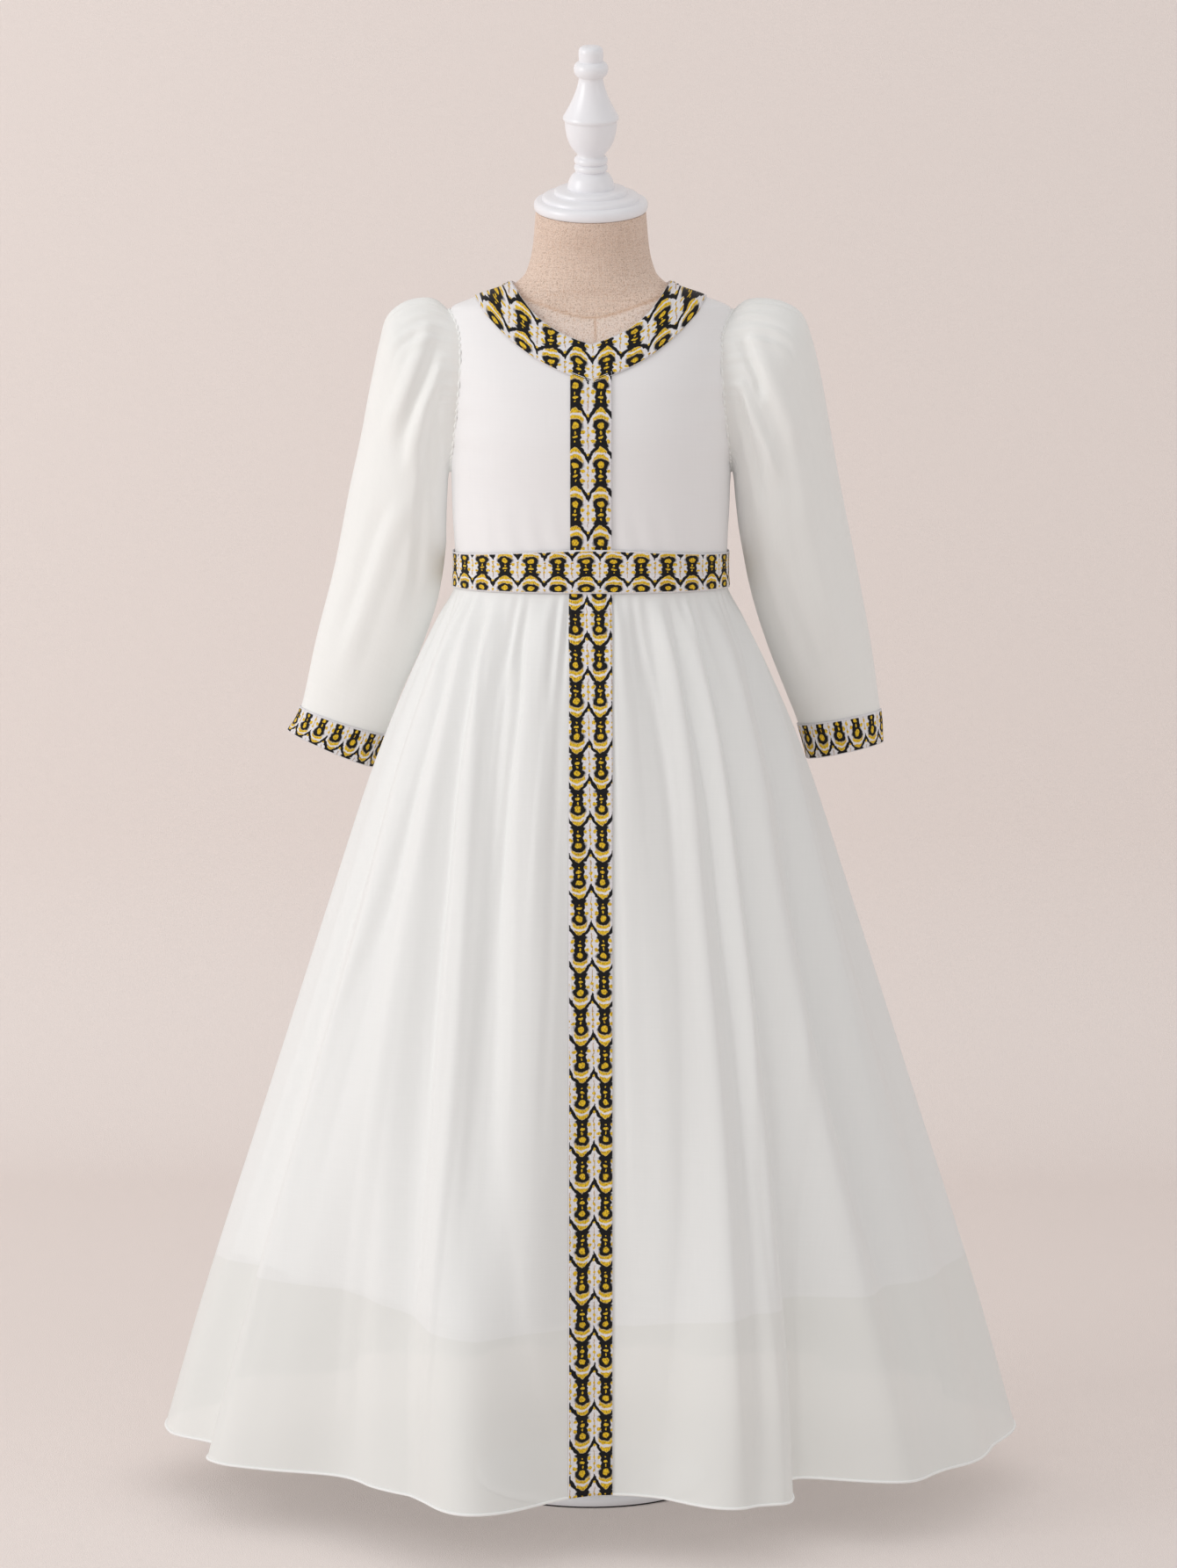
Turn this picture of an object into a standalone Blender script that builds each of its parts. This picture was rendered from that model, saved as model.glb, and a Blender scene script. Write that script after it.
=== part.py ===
"""Child's princess dress with ribbon trim, standing on a limbless dress form.

Metres, +Z up. The origin is on the floor at the centre of the round foot. The front faces -Y, and the
wearer's right is at -X. Angles round the body are degrees from the front, positive towards +X.
"""

import math
from bisect import bisect_right
from collections import namedtuple

import bmesh
import bpy
from mathutils import Matrix, Vector

# Driving sizes of the dress
HEM_HEIGHT = 0.050
LINING_HEM_HEIGHT = 0.183
WAIST_SEAM_HEIGHT = 0.785
SIDE_SEAM_TOP = 0.864
SHOULDER_TIP_HEIGHT = 0.997
ARMHOLE_HALF_DEPTH = 0.038
RIBBON_WIDTH = 0.0355
WAIST_BAND_BOTTOM = 0.767
WAIST_BAND_FRONT_WIDTH = 0.0365
WAIST_BAND_SIDE_WIDTH = 0.0300

# Cloth walls and the gaps between pieces
BODICE_CLOTH = 0.0015
CHIFFON_CLOTH = 0.0012
LINING_CLOTH = 0.0010
RIBBON_CLOTH = 0.0012
SEAM_GAP = 0.0003
FORM_UNDER_CLOTH = 0.0006
FORM_UNDER_SHOULDER = 0.0032
BODICE_CLEAR_OF_FORM = 0.0006
BODICE_EASE_AT_WAIST = 0.0012
RIBBON_CLEAR_OF_BODICE = 0.0008
NECK_BAND_CLEAR_OF_BODICE = 0.0003
WAIST_BAND_CLEAR_OF_FORM = 0.0041

# Driving sizes of the dress form
FORM_BOTTOM_HEIGHT = 0.600
NECK_TOP_HEIGHT = 1.0815
NECK_LEAN_START = 1.020
CAP_TILT = 14.0
BASE_RADIUS = 0.098
BASE_THICKNESS = 0.012
POLE_RADIUS = 0.0110

# Colours as linear red, green, blue
CHIFFON_WHITE = (0.84, 0.84, 0.81)
SATIN_WHITE = (0.86, 0.84, 0.83)
RIBBON_GOLD = (0.45, 0.32, 0.08)
LINEN_BEIGE = (0.56, 0.43, 0.32)
GLOSS_WHITE = (0.80, 0.80, 0.82)
STEEL_GREY = (0.55, 0.55, 0.56)

# Sections of the linen form from the hips to the top of the neck. Squareness 2 is an ellipse.
FormSection = namedtuple("FormSection", "height half_width front_depth back_depth squareness")
FORM_SECTIONS = (
    FormSection(0.6000, 0.1190, 0.0900, 0.0960, 2.2),
    FormSection(0.6600, 0.1210, 0.0910, 0.0980, 2.2),
    FormSection(0.7300, 0.1150, 0.0865, 0.0870, 2.3),
    FormSection(0.7850, 0.1105, 0.0830, 0.0815, 2.4),
    FormSection(0.8350, 0.1135, 0.0850, 0.0840, 2.4),
    FormSection(0.8850, 0.1155, 0.0870, 0.0870, 2.4),
    FormSection(0.9300, 0.1160, 0.0800, 0.0850, 2.4),
    FormSection(0.9600, 0.1160, 0.0680, 0.0790, 2.4),
    FormSection(0.9800, 0.1160, 0.0575, 0.0710, 2.3),
    FormSection(0.9970, 0.1155, 0.0500, 0.0640, 2.2),
    FormSection(1.0075, 0.0925, 0.0475, 0.0580, 2.1),
    FormSection(1.0165, 0.0680, 0.0465, 0.0520, 2.0),
    FormSection(1.0290, 0.0545, 0.0460, 0.0485, 2.0),
    FormSection(1.0500, 0.0490, 0.0455, 0.0465, 2.0),
    FormSection(1.0815, 0.0462, 0.0450, 0.0450, 2.0),
)

# Sections of the skirt's outside between its folds, from the waist seam to the hem
SkirtSection = namedtuple("SkirtSection", "height half_width front_depth back_depth squareness")
SKIRT_SECTIONS = (
    SkirtSection(0.050, 0.3545, 0.2640, 0.2700, 2.0),
    SkirtSection(0.160, 0.3240, 0.2420, 0.2480, 2.0),
    SkirtSection(0.340, 0.2680, 0.2010, 0.2060, 2.0),
    SkirtSection(0.520, 0.2110, 0.1580, 0.1620, 2.0),
    SkirtSection(0.620, 0.1780, 0.1335, 0.1360, 2.1),
    SkirtSection(0.700, 0.1455, 0.1095, 0.1105, 2.2),
    SkirtSection(0.745, 0.1240, 0.0940, 0.0940, 2.3),
    SkirtSection(0.767, 0.1145, 0.0870, 0.0858, 2.4),
    SkirtSection(0.785, 0.1138, 0.0863, 0.0848, 2.4),
)
SKIRT_ROW_HEIGHTS = (
    0.0500, 0.1180, 0.2000, 0.2950, 0.3900, 0.4850, 0.5700, 0.6400, 0.6930, 0.7300, 0.7530, 0.7667, 0.7850,
)
LINING_ROW_HEIGHTS = (0.1830, 0.3300, 0.4700, 0.5900, 0.6800, 0.7300, 0.7530, 0.7667, 0.7850)

# Folds of the skirt: the angle of each crest (height above 0) or trough (below 0) under the waist band,
# half-way down and at the hem, its height there, and how far it spreads to each side in degrees.
SkirtFold = namedtuple(
    "SkirtFold",
    "waist_angle middle_angle hem_angle waist_height middle_height hem_height "
    "waist_spread middle_spread hem_spread",
)
SKIRT_FRONT_FOLDS = (
    SkirtFold(-88, -87, -89, 0.003, 0.005, 0.009, 7, 8, 12),
    SkirtFold(-75, -73, -76, -0.003, -0.008, -0.022, 6, 7, 8),
    SkirtFold(-65, -64, -67, 0.004, 0.008, 0.006, 6, 6, 7),
    SkirtFold(-56, -51, -49, 0.003, 0.003, -0.032, 6, 7, 17),
    SkirtFold(-51, -42, -35, -0.003, -0.008, -0.004, 5, 6, 7),
    SkirtFold(-46, -33, -19, 0.004, 0.008, 0.040, 5, 9, 14),
    SkirtFold(-39, -26, -24, -0.003, -0.004, 0.000, 5, 7, 8),
    SkirtFold(-32, -24, -22, -0.002, -0.003, 0.000, 4, 6, 8),
    SkirtFold(-23, -17, -12, 0.004, 0.003, 0.000, 7, 8, 8),
    SkirtFold(-14, -12, -10, 0.002, 0.000, 0.000, 4, 5, 6),
    SkirtFold(3, 3, 3, 0.000, -0.003, -0.026, 12, 14, 16),
    SkirtFold(15, 13, 10, 0.002, 0.000, 0.000, 4, 5, 6),
    SkirtFold(24, 22, 12, -0.002, 0.001, -0.004, 6, 7, 8),
    SkirtFold(34, 30, 23, 0.004, 0.009, 0.030, 6, 8, 11),
    SkirtFold(40, 36, 30, -0.003, -0.003, 0.000, 5, 5, 6),
    SkirtFold(46, 40, 32, 0.004, 0.009, 0.022, 5, 5, 7),
    SkirtFold(51, 45, 42, -0.003, -0.010, -0.044, 5, 7, 12),
    SkirtFold(60, 52, 53, 0.004, 0.009, 0.016, 6, 6, 11),
    SkirtFold(70, 60, 58, -0.003, -0.010, 0.000, 6, 7, 8),
    SkirtFold(79, 68, 67, 0.004, 0.009, 0.010, 6, 8, 11),
)
SKIRT_BACK_FOLDS = (
    SkirtFold(90, 88, 88, 0.003, 0.005, 0.008, 7, 9, 12),
    SkirtFold(102, 104, 105, -0.003, -0.008, -0.022, 6, 8, 11),
    SkirtFold(112, 115, 118, 0.004, 0.008, 0.014, 6, 8, 11),
    SkirtFold(123, 126, 130, -0.003, -0.009, -0.026, 6, 8, 11),
    SkirtFold(134, 138, 143, 0.004, 0.010, 0.024, 6, 9, 12),
    SkirtFold(146, 149, 156, -0.003, -0.007, -0.022, 6, 8, 11),
    SkirtFold(158, 162, 168, 0.004, 0.007, 0.014, 7, 9, 11),
    SkirtFold(170, 174, 180, -0.003, -0.004, -0.014, 6, 7, 10),
    SkirtFold(-101, -103, -104, -0.003, -0.007, -0.020, 6, 8, 11),
    SkirtFold(-113, -114, -116, 0.004, 0.009, 0.018, 6, 8, 11),
    SkirtFold(-124, -127, -129, -0.003, -0.008, -0.024, 6, 8, 11),
    SkirtFold(-136, -140, -142, 0.004, 0.009, 0.022, 7, 9, 12),
    SkirtFold(-148, -152, -155, -0.003, -0.008, -0.020, 6, 8, 11),
    SkirtFold(-159, -163, -167, 0.004, 0.007, 0.016, 6, 8, 11),
    SkirtFold(-171, -174, -179, -0.003, -0.003, -0.010, 6, 7, 10),
)

# Corners of the armhole in degrees from its top, forwards and, below 0, backwards
ARMHOLE_CORNERS = (0, 14, 28, 44, 62, 86, 114, 147, 180)

# Sections of each sleeve below the armhole: the ends of the section across, seen from the front,
# how far its middle lies behind the side seam, and half of its depth.
SleeveSection = namedtuple("SleeveSection", "outer_x outer_z inner_x inner_z behind half_depth")
RIGHT_SLEEVE_SECTIONS = (
    SleeveSection(-0.1300, 1.0050, -0.1195, 0.8570, 0.000, 0.0445),
    SleeveSection(-0.1440, 1.0062, -0.1200, 0.8480, 0.001, 0.0490),
    SleeveSection(-0.1590, 1.0015, -0.1205, 0.8385, 0.002, 0.0520),
    SleeveSection(-0.1710, 0.9900, -0.1210, 0.8280, 0.003, 0.0530),
    SleeveSection(-0.1775, 0.9660, -0.1213, 0.8150, 0.004, 0.0530),
    SleeveSection(-0.1840, 0.9337, -0.1217, 0.8000, 0.006, 0.0520),
    SleeveSection(-0.1933, 0.8895, -0.1250, 0.7742, 0.010, 0.0490),
    SleeveSection(-0.2034, 0.8451, -0.1310, 0.7474, 0.016, 0.0450),
    SleeveSection(-0.2165, 0.7810, -0.1440, 0.7110, 0.025, 0.0395),
    SleeveSection(-0.2325, 0.7210, -0.1605, 0.6740, 0.036, 0.0335),
    SleeveSection(-0.2464, 0.6610, -0.1745, 0.6374, 0.046, 0.0270),
    SleeveSection(-0.2577, 0.6402, -0.1866, 0.6090, 0.049, 0.0260),
)
LEFT_SLEEVE_SECTIONS = (
    SleeveSection(0.1300, 1.0045, 0.1195, 0.8570, 0.000, 0.0445),
    SleeveSection(0.1450, 1.0060, 0.1203, 0.8480, 0.001, 0.0490),
    SleeveSection(0.1620, 1.0030, 0.1212, 0.8385, 0.002, 0.0520),
    SleeveSection(0.1764, 0.9935, 0.1224, 0.8280, 0.003, 0.0530),
    SleeveSection(0.1850, 0.9720, 0.1240, 0.8150, 0.004, 0.0530),
    SleeveSection(0.1928, 0.9400, 0.1270, 0.7985, 0.006, 0.0520),
    SleeveSection(0.2022, 0.8895, 0.1325, 0.7705, 0.010, 0.0490),
    SleeveSection(0.2108, 0.8451, 0.1404, 0.7414, 0.016, 0.0450),
    SleeveSection(0.2243, 0.7820, 0.1520, 0.7080, 0.025, 0.0395),
    SleeveSection(0.2365, 0.7205, 0.1660, 0.6730, 0.036, 0.0335),
    SleeveSection(0.2461, 0.6587, 0.1765, 0.6464, 0.046, 0.0270),
    SleeveSection(0.2481, 0.6304, 0.1850, 0.6165, 0.049, 0.0260),
)

# Creases of the sleeves, running from the gathered head: the angle round the sleeve at the head and
# at the elbow (0 is its outer edge, 90 its front), the height at both, and the spread.
SleeveCrease = namedtuple("SleeveCrease", "head_angle elbow_angle head_height elbow_height spread")
RIGHT_SLEEVE_CREASES = (
    SleeveCrease(52, 40, 0.0030, 0.000, 15),
    SleeveCrease(70, 56, -0.0030, -0.001, 15),
    SleeveCrease(86, 70, 0.0040, 0.003, 16),
    SleeveCrease(104, 88, -0.0040, -0.003, 15),
    SleeveCrease(122, 104, 0.0040, 0.002, 16),
    SleeveCrease(-60, -52, 0.0030, 0.001, 16),
    SleeveCrease(-85, -74, -0.0030, -0.002, 16),
    SleeveCrease(-110, -98, 0.0035, 0.002, 16),
)
LEFT_SLEEVE_CREASES = (
    SleeveCrease(58, 44, 0.0030, 0.001, 15),
    SleeveCrease(80, 58, -0.0030, -0.002, 15),
    SleeveCrease(98, 74, 0.0045, 0.004, 16),
    SleeveCrease(116, 92, -0.0045, -0.003, 14),
    SleeveCrease(132, 110, 0.0040, 0.002, 15),
    SleeveCrease(-56, -50, 0.0030, 0.001, 16),
    SleeveCrease(-82, -72, -0.0030, -0.002, 16),
    SleeveCrease(-108, -96, 0.0035, 0.002, 16),
)

# Half of the turned cap's outline: the radius at each distance above the top of the neck
CapRing = namedtuple("CapRing", "radius above_neck")
CAP_RINGS = (
    CapRing(0.0000, 0.1366),
    CapRing(0.0062, 0.1352),
    CapRing(0.0098, 0.1308),
    CapRing(0.0096, 0.1262),
    CapRing(0.0084, 0.1241),
    CapRing(0.0130, 0.1218),
    CapRing(0.0139, 0.1178),
    CapRing(0.0127, 0.1136),
    CapRing(0.0108, 0.1108),
    CapRing(0.0120, 0.1030),
    CapRing(0.0152, 0.0940),
    CapRing(0.0190, 0.0860),
    CapRing(0.0226, 0.0795),
    CapRing(0.0231, 0.0770),
    CapRing(0.0217, 0.0745),
    CapRing(0.0200, 0.0670),
    CapRing(0.0168, 0.0575),
    CapRing(0.0130, 0.0495),
    CapRing(0.0113, 0.0458),
    CapRing(0.0136, 0.0437),
    CapRing(0.0136, 0.0405),
    CapRing(0.0119, 0.0391),
    CapRing(0.0136, 0.0376),
    CapRing(0.0136, 0.0344),
    CapRing(0.0114, 0.0326),
    CapRing(0.0126, 0.0290),
    CapRing(0.0160, 0.0245),
    CapRing(0.0192, 0.0205),
    CapRing(0.0307, 0.0172),
    CapRing(0.0312, 0.0150),
    CapRing(0.0399, 0.0122),
    CapRing(0.0404, 0.0100),
    CapRing(0.0452, 0.0084),
    CapRing(0.0471, 0.0052),
    CapRing(0.0466, 0.0012),
    CapRing(0.0452, 0.0000),
    CapRing(0.0000, 0.0000),
)

# Turned outline of the round foot: the radius at each height
BaseRing = namedtuple("BaseRing", "radius height")
BASE_RINGS = (
    BaseRing(0.0000, BASE_THICKNESS + 0.012),
    BaseRing(0.0170, BASE_THICKNESS + 0.012),
    BaseRing(0.0195, BASE_THICKNESS + 0.009),
    BaseRing(0.0205, BASE_THICKNESS + 0.001),
    BaseRing(0.0240, BASE_THICKNESS),
    BaseRing(BASE_RADIUS - 0.008, BASE_THICKNESS - 0.002),
    BaseRing(BASE_RADIUS - 0.002, BASE_THICKNESS - 0.005),
    BaseRing(BASE_RADIUS, 0.0040),
    BaseRing(BASE_RADIUS, 0.0010),
    BaseRing(BASE_RADIUS - 0.001, 0.0000),
    BaseRing(0.0000, 0.0000),
)


# Curves through a few sizes

def smooth_through(places, values, place):
    """The value at a place on a curve through the values that never runs past them."""
    if place <= places[0]:
        return values[0]
    if place >= places[-1]:
        return values[-1]
    steps = [(v1 - v0) / (p1 - p0) for p0, p1, v0, v1 in zip(places, places[1:], values, values[1:])]
    index = bisect_right(places, place) - 1

    def slope(at):
        if at == 0:
            return steps[0]
        if at == len(steps):
            return steps[-1]
        before, after = steps[at - 1], steps[at]
        return 0.0 if before * after <= 0 else 2 * before * after / (before + after)

    length = places[index + 1] - places[index]
    f = (place - places[index]) / length
    return (
        (1 + 2 * f) * (1 - f) ** 2 * values[index]
        + f * (1 - f) ** 2 * length * slope(index)
        + f**2 * (3 - 2 * f) * values[index + 1]
        - f**2 * (1 - f) * length * slope(index + 1)
    )


def ease(low, high, value):
    """0 below low and 1 above high, with a smooth rise between them."""
    f = min(1.0, max(0.0, (value - low) / (high - low)))
    return f * f * (3 - 2 * f)


def hump(offset, spread):
    """1 at offset 0 and 0 from the spread outwards."""
    if abs(offset) >= spread:
        return 0.0
    return 0.5 + 0.5 * math.cos(math.pi * offset / spread)


def turn_between(angle, other):
    """Signed difference of two angles in degrees, from -180 to 180."""
    return (angle - other + 180.0) % 360.0 - 180.0


# The form's surface, from which the bodice and its ribbons are moved out

def section_at(sections, height):
    heights = [section.height for section in sections]
    return [
        smooth_through(heights, [section[column] for section in sections], height)
        for column in range(1, 5)
    ]


def section_radius(section, angle):
    half_width, front_depth, back_depth, squareness = section
    across = abs(math.sin(math.radians(angle)))
    forward = math.cos(math.radians(angle))
    depth = front_depth if forward > 0 else back_depth
    sum_of_powers = (across / half_width) ** squareness + (abs(forward) / depth) ** squareness
    return sum_of_powers ** (-1 / squareness)


def round_point(radius, angle, height):
    turn = math.radians(angle)
    return Vector((radius * math.sin(turn), -radius * math.cos(turn), height))


def form_point(angle, height):
    return round_point(section_radius(section_at(FORM_SECTIONS, height), angle), angle, height)


def outward_normal(surface, angle, height, away):
    """Unit normal of a surface that is given by two numbers, on the side that away points to."""
    round_step = surface(angle + 0.4, height) - surface(angle - 0.4, height)
    rising_step = surface(angle, height + 0.0004) - surface(angle, height - 0.0004)
    normal = round_step.cross(rising_step).normalized()
    return normal if normal.dot(away) > 0 else -normal


def on_form(angle, height):
    """A point of the form's surface and the direction straight out of it."""
    return form_point(angle, height), outward_normal(
        form_point, angle, height, round_point(1.0, angle, 0.3)
    )


def form_angle(x, height, back=False):
    """The angle at which the form's surface at this height lies x to the side."""
    half_width, front_depth, back_depth, squareness = section_at(FORM_SECTIONS, height)
    share = min(1.0, abs(x) / half_width)
    depth = (back_depth if back else front_depth) * (1 - share**squareness) ** (1 / squareness)
    angle = math.degrees(math.atan2(abs(x), depth))
    if back:
        angle = 180.0 - angle
    return math.copysign(angle, x)


def form_half_width(height):
    return section_at(FORM_SECTIONS, height)[0]


# Meshes and objects

def make_material(name, colour, roughness, metallic=0.0, coat=0.0):
    material = bpy.data.materials.new(name)
    material.use_nodes = True
    shader = material.node_tree.nodes["Principled BSDF"]
    shader.inputs["Base Color"].default_value = (*colour, 1.0)
    shader.inputs["Roughness"].default_value = roughness
    shader.inputs["Metallic"].default_value = metallic
    shader.inputs["Coat Weight"].default_value = coat
    material.diffuse_color = (*colour, 1.0)
    return material


def add_object(name, mesh, material, collection):
    mesh.materials.append(material)
    obj = bpy.data.objects.new(name, mesh)
    collection.objects.link(obj)
    return obj


def finish_smooth(mesh, sharp_degrees=40.0):
    mesh.shade_smooth()
    mesh.set_sharp_from_angle(angle=math.radians(sharp_degrees))


def cloth_wall(name, material, collection, place, columns, rows, inner, outer, keep=None, tube=False):
    """A wall of cloth as two sheets, joined round their edges.

    place(s, t) gives a point and its outward normal for s and t from 0 to 1. The sheets lie inner and
    outer metres along the normal, each a number or a function of s and t. keep(point) holds a point on
    its own side of a seam. A tube closes on itself where s is 0 and 1.
    """
    builder = bmesh.new()
    sheets = []
    for distance in (outer, inner):
        sheet = bmesh.ops.create_grid(builder, x_segments=columns, y_segments=rows, size=1.0)["verts"]
        stations = []
        for vert in sheet:
            s = 0.5 + 0.5 * vert.co.x
            t = 0.5 + 0.5 * vert.co.y
            stations.append((s, t))
            point, normal = place(s, t)
            point = point + normal * (distance(s, t) if callable(distance) else distance)
            vert.co = keep(point) if keep else point
        sheets.append((sheet, stations))
    (outside, stations), (inside, _) = sheets
    partner = dict(zip(outside, inside))
    station = dict(zip(outside, stations))
    for edge in [edge for edge in builder.edges if edge.is_boundary and edge.verts[0] in partner]:
        first, second = edge.verts
        along_seam = abs(station[first][1] - station[second][1]) > 1e-6
        if not (tube and along_seam):
            builder.faces.new((first, second, partner[second], partner[first]))
    if tube:
        bmesh.ops.remove_doubles(builder, verts=builder.verts, dist=1e-6)
    bmesh.ops.recalc_face_normals(builder, faces=builder.faces)
    mesh = bpy.data.meshes.new(name)
    builder.to_mesh(mesh)
    builder.free()
    finish_smooth(mesh)
    return add_object(name, mesh, material, collection)


def turned_piece(name, material, collection, rings, steps):
    """A turned solid from its outline, which runs down the outer side from the top to the bottom."""
    mesh = bpy.data.meshes.new(name)
    points = [(radius, 0.0, height) for radius, height in rings]
    mesh.from_pydata(points, [(i, i + 1) for i in range(len(points) - 1)], [])
    obj = add_object(name, mesh, material, collection)
    screw = obj.modifiers.new("Turning", "SCREW")
    screw.axis = "Z"
    screw.steps = steps
    screw.render_steps = steps
    screw.use_merge_vertices = True
    screw.merge_threshold = 0.0001
    screw.use_smooth_shade = True
    return obj


# The neckline and the armhole

NeckEdge = namedtuple("NeckEdge", "centre_height shoulder_height straightness")
FRONT_NECK_INNER = NeckEdge(0.9690, 1.0159, 0.40)
FRONT_NECK_OUTER = NeckEdge(0.9380, 1.0075, 0.50)
BACK_NECK_INNER = NeckEdge(1.0040, 1.0159, 0.00)
BACK_NECK_OUTER = NeckEdge(0.9790, 1.0075, 0.00)


def neck_edge_place(edge, share):
    """x and height on a neck edge, seen from the front, at a share from -1 to 1 of its width."""
    reach = abs(share)
    rise = edge.straightness * reach + (1 - edge.straightness) * reach**3
    height = edge.centre_height + (edge.shoulder_height - edge.centre_height) * rise
    return share * form_half_width(edge.shoulder_height), height


def neck_edges(back):
    """The outer and the inner edge of the neck band."""
    return (BACK_NECK_OUTER, BACK_NECK_INNER) if back else (FRONT_NECK_OUTER, FRONT_NECK_INNER)


def neck_band_place(outer_edge, inner_edge, share, t):
    x0, z0 = neck_edge_place(outer_edge, share)
    x1, z1 = neck_edge_place(inner_edge, share)
    return x0 + (x1 - x0) * t, z0 + (z1 - z0) * t


ARMHOLE_MIDDLE = (SHOULDER_TIP_HEIGHT + SIDE_SEAM_TOP) / 2
ARMHOLE_HALF_HEIGHT = (SHOULDER_TIP_HEIGHT - SIDE_SEAM_TOP) / 2


def armhole_angle_height(turn, shrink=0.0):
    """Angle round the form and height of the armhole's edge. Turn 0 is its top and 90 its front."""
    height = ARMHOLE_MIDDLE + (ARMHOLE_HALF_HEIGHT - shrink) * math.cos(math.radians(turn))
    forward = (ARMHOLE_HALF_DEPTH - shrink) * math.sin(math.radians(turn))
    half_width, front_depth, back_depth, squareness = section_at(FORM_SECTIONS, height)
    share = abs(forward) / (front_depth if forward > 0 else back_depth)
    across = half_width * (1 - share**squareness) ** (1 / squareness)
    return math.degrees(math.atan2(across, forward)), height


# Bodice

SIDE_SEAM_ROWS = 3
SHOULDER_ROWS = 2
NECK_BAND_ROWS = 2


def neck_share(s):
    """Share of the neck's width at s from 0 to 1, crowded towards the shoulder."""
    return math.sin(math.radians(90.0 * s))


def bodice_side_stations(back):
    """x and height of each row's end: up the side seam, round the armhole and along the shoulder."""
    stations = []
    for row in range(SIDE_SEAM_ROWS):
        height = WAIST_SEAM_HEIGHT + (SIDE_SEAM_TOP - WAIST_SEAM_HEIGHT) * row / SIDE_SEAM_ROWS
        stations.append((form_half_width(height), height))
    for corner in reversed(ARMHOLE_CORNERS):
        angle, height = armhole_angle_height(-corner if back else corner)
        stations.append((abs(form_point(angle, height).x), height))
    shoulder_height = (BACK_NECK_OUTER if back else FRONT_NECK_OUTER).shoulder_height
    for row in range(1, SHOULDER_ROWS + 1):
        height = SHOULDER_TIP_HEIGHT + (shoulder_height - SHOULDER_TIP_HEIGHT) * row / SHOULDER_ROWS
        stations.append((form_half_width(height), height))
    return stations


SIDE_STATIONS = {False: bodice_side_stations(False), True: bodice_side_stations(True)}
BODICE_ROWS = len(SIDE_STATIONS[False]) - 1 + NECK_BAND_ROWS


def bodice_place(s, row, back):
    """x and height on half a bodice panel: s from the centre to the side, rows from the waist up."""
    stations = SIDE_STATIONS[back]
    last = len(stations) - 1
    outer_edge, inner_edge = neck_edges(back)
    if row >= last:
        return neck_band_place(outer_edge, inner_edge, neck_share(s), (row - last) / NECK_BAND_ROWS)
    lengths = [math.dist(first, second) for first, second in zip(stations, stations[1:])]
    t = sum(lengths[:row]) / sum(lengths)
    waist = form_point(90.0 * s if not back else 180.0 - 90.0 * s, WAIST_SEAM_HEIGHT)
    bottom = (abs(waist.x), WAIST_SEAM_HEIGHT)
    top = neck_edge_place(outer_edge, neck_share(s))
    centre = (0.0, WAIST_SEAM_HEIGHT + (outer_edge.centre_height - WAIST_SEAM_HEIGHT) * t)
    low_centre, high_centre = (0.0, WAIST_SEAM_HEIGHT), (0.0, outer_edge.centre_height)
    return [
        (1 - t) * bottom[axis]
        + t * top[axis]
        + (1 - s) * centre[axis]
        + s * stations[row][axis]
        - (1 - s) * (1 - t) * low_centre[axis]
        - s * (1 - t) * stations[0][axis]
        - (1 - s) * t * high_centre[axis]
        - s * t * stations[last][axis]
        for axis in (0, 1)
    ]


def bodice_clearance(height):
    """Distance from the form to the inside of the bodice, with a little more ease at the waist."""
    return BODICE_CLEAR_OF_FORM + BODICE_EASE_AT_WAIST * (1 - ease(0.800, 0.860, height))


def bodice_panel(name, material, collection, columns, first_share, last_share, back):
    """A bodice panel between two shares of the width, from -1 at the wearer's right to 1 at the left."""

    def spot(s, t):
        share = first_share + (last_share - first_share) * s
        x, height = bodice_place(abs(share), round(t * BODICE_ROWS), back)
        return form_angle(math.copysign(x, share), height, back), height

    def inner(s, t):
        return bodice_clearance(spot(s, t)[1])

    def outer(s, t):
        return inner(s, t) + BODICE_CLOTH

    def keep(point):
        half = SEAM_GAP / 2
        point.y = max(point.y, half) if back else min(point.y, -half)
        if first_share == 0:
            point.x = max(point.x, half)
        if last_share == 0:
            point.x = min(point.x, -half)
        point.z = max(point.z, WAIST_SEAM_HEIGHT + half)
        return point

    return cloth_wall(
        name,
        material,
        collection,
        lambda s, t: on_form(*spot(s, t)),
        columns,
        BODICE_ROWS,
        inner,
        outer,
        keep,
    )


# Ribbons on the bodice and the waist

def bodice_ribbon(name, material, collection, columns, rows):
    def spot(s, t):
        x = RIBBON_WIDTH * (s - 0.5)
        low = WAIST_BAND_BOTTOM + WAIST_BAND_FRONT_WIDTH + SEAM_GAP
        shoulder_x = form_half_width(FRONT_NECK_OUTER.shoulder_height)
        high = neck_edge_place(FRONT_NECK_OUTER, x / shoulder_x)[1] - SEAM_GAP
        height = low + (high - low) * t
        return form_angle(x, height), height

    def inner(s, t):
        return bodice_clearance(spot(s, t)[1]) + BODICE_CLOTH + RIBBON_CLEAR_OF_BODICE

    def outer(s, t):
        return inner(s, t) + RIBBON_CLOTH

    return cloth_wall(
        name, material, collection, lambda s, t: on_form(*spot(s, t)), columns, rows, inner, outer
    )


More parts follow.
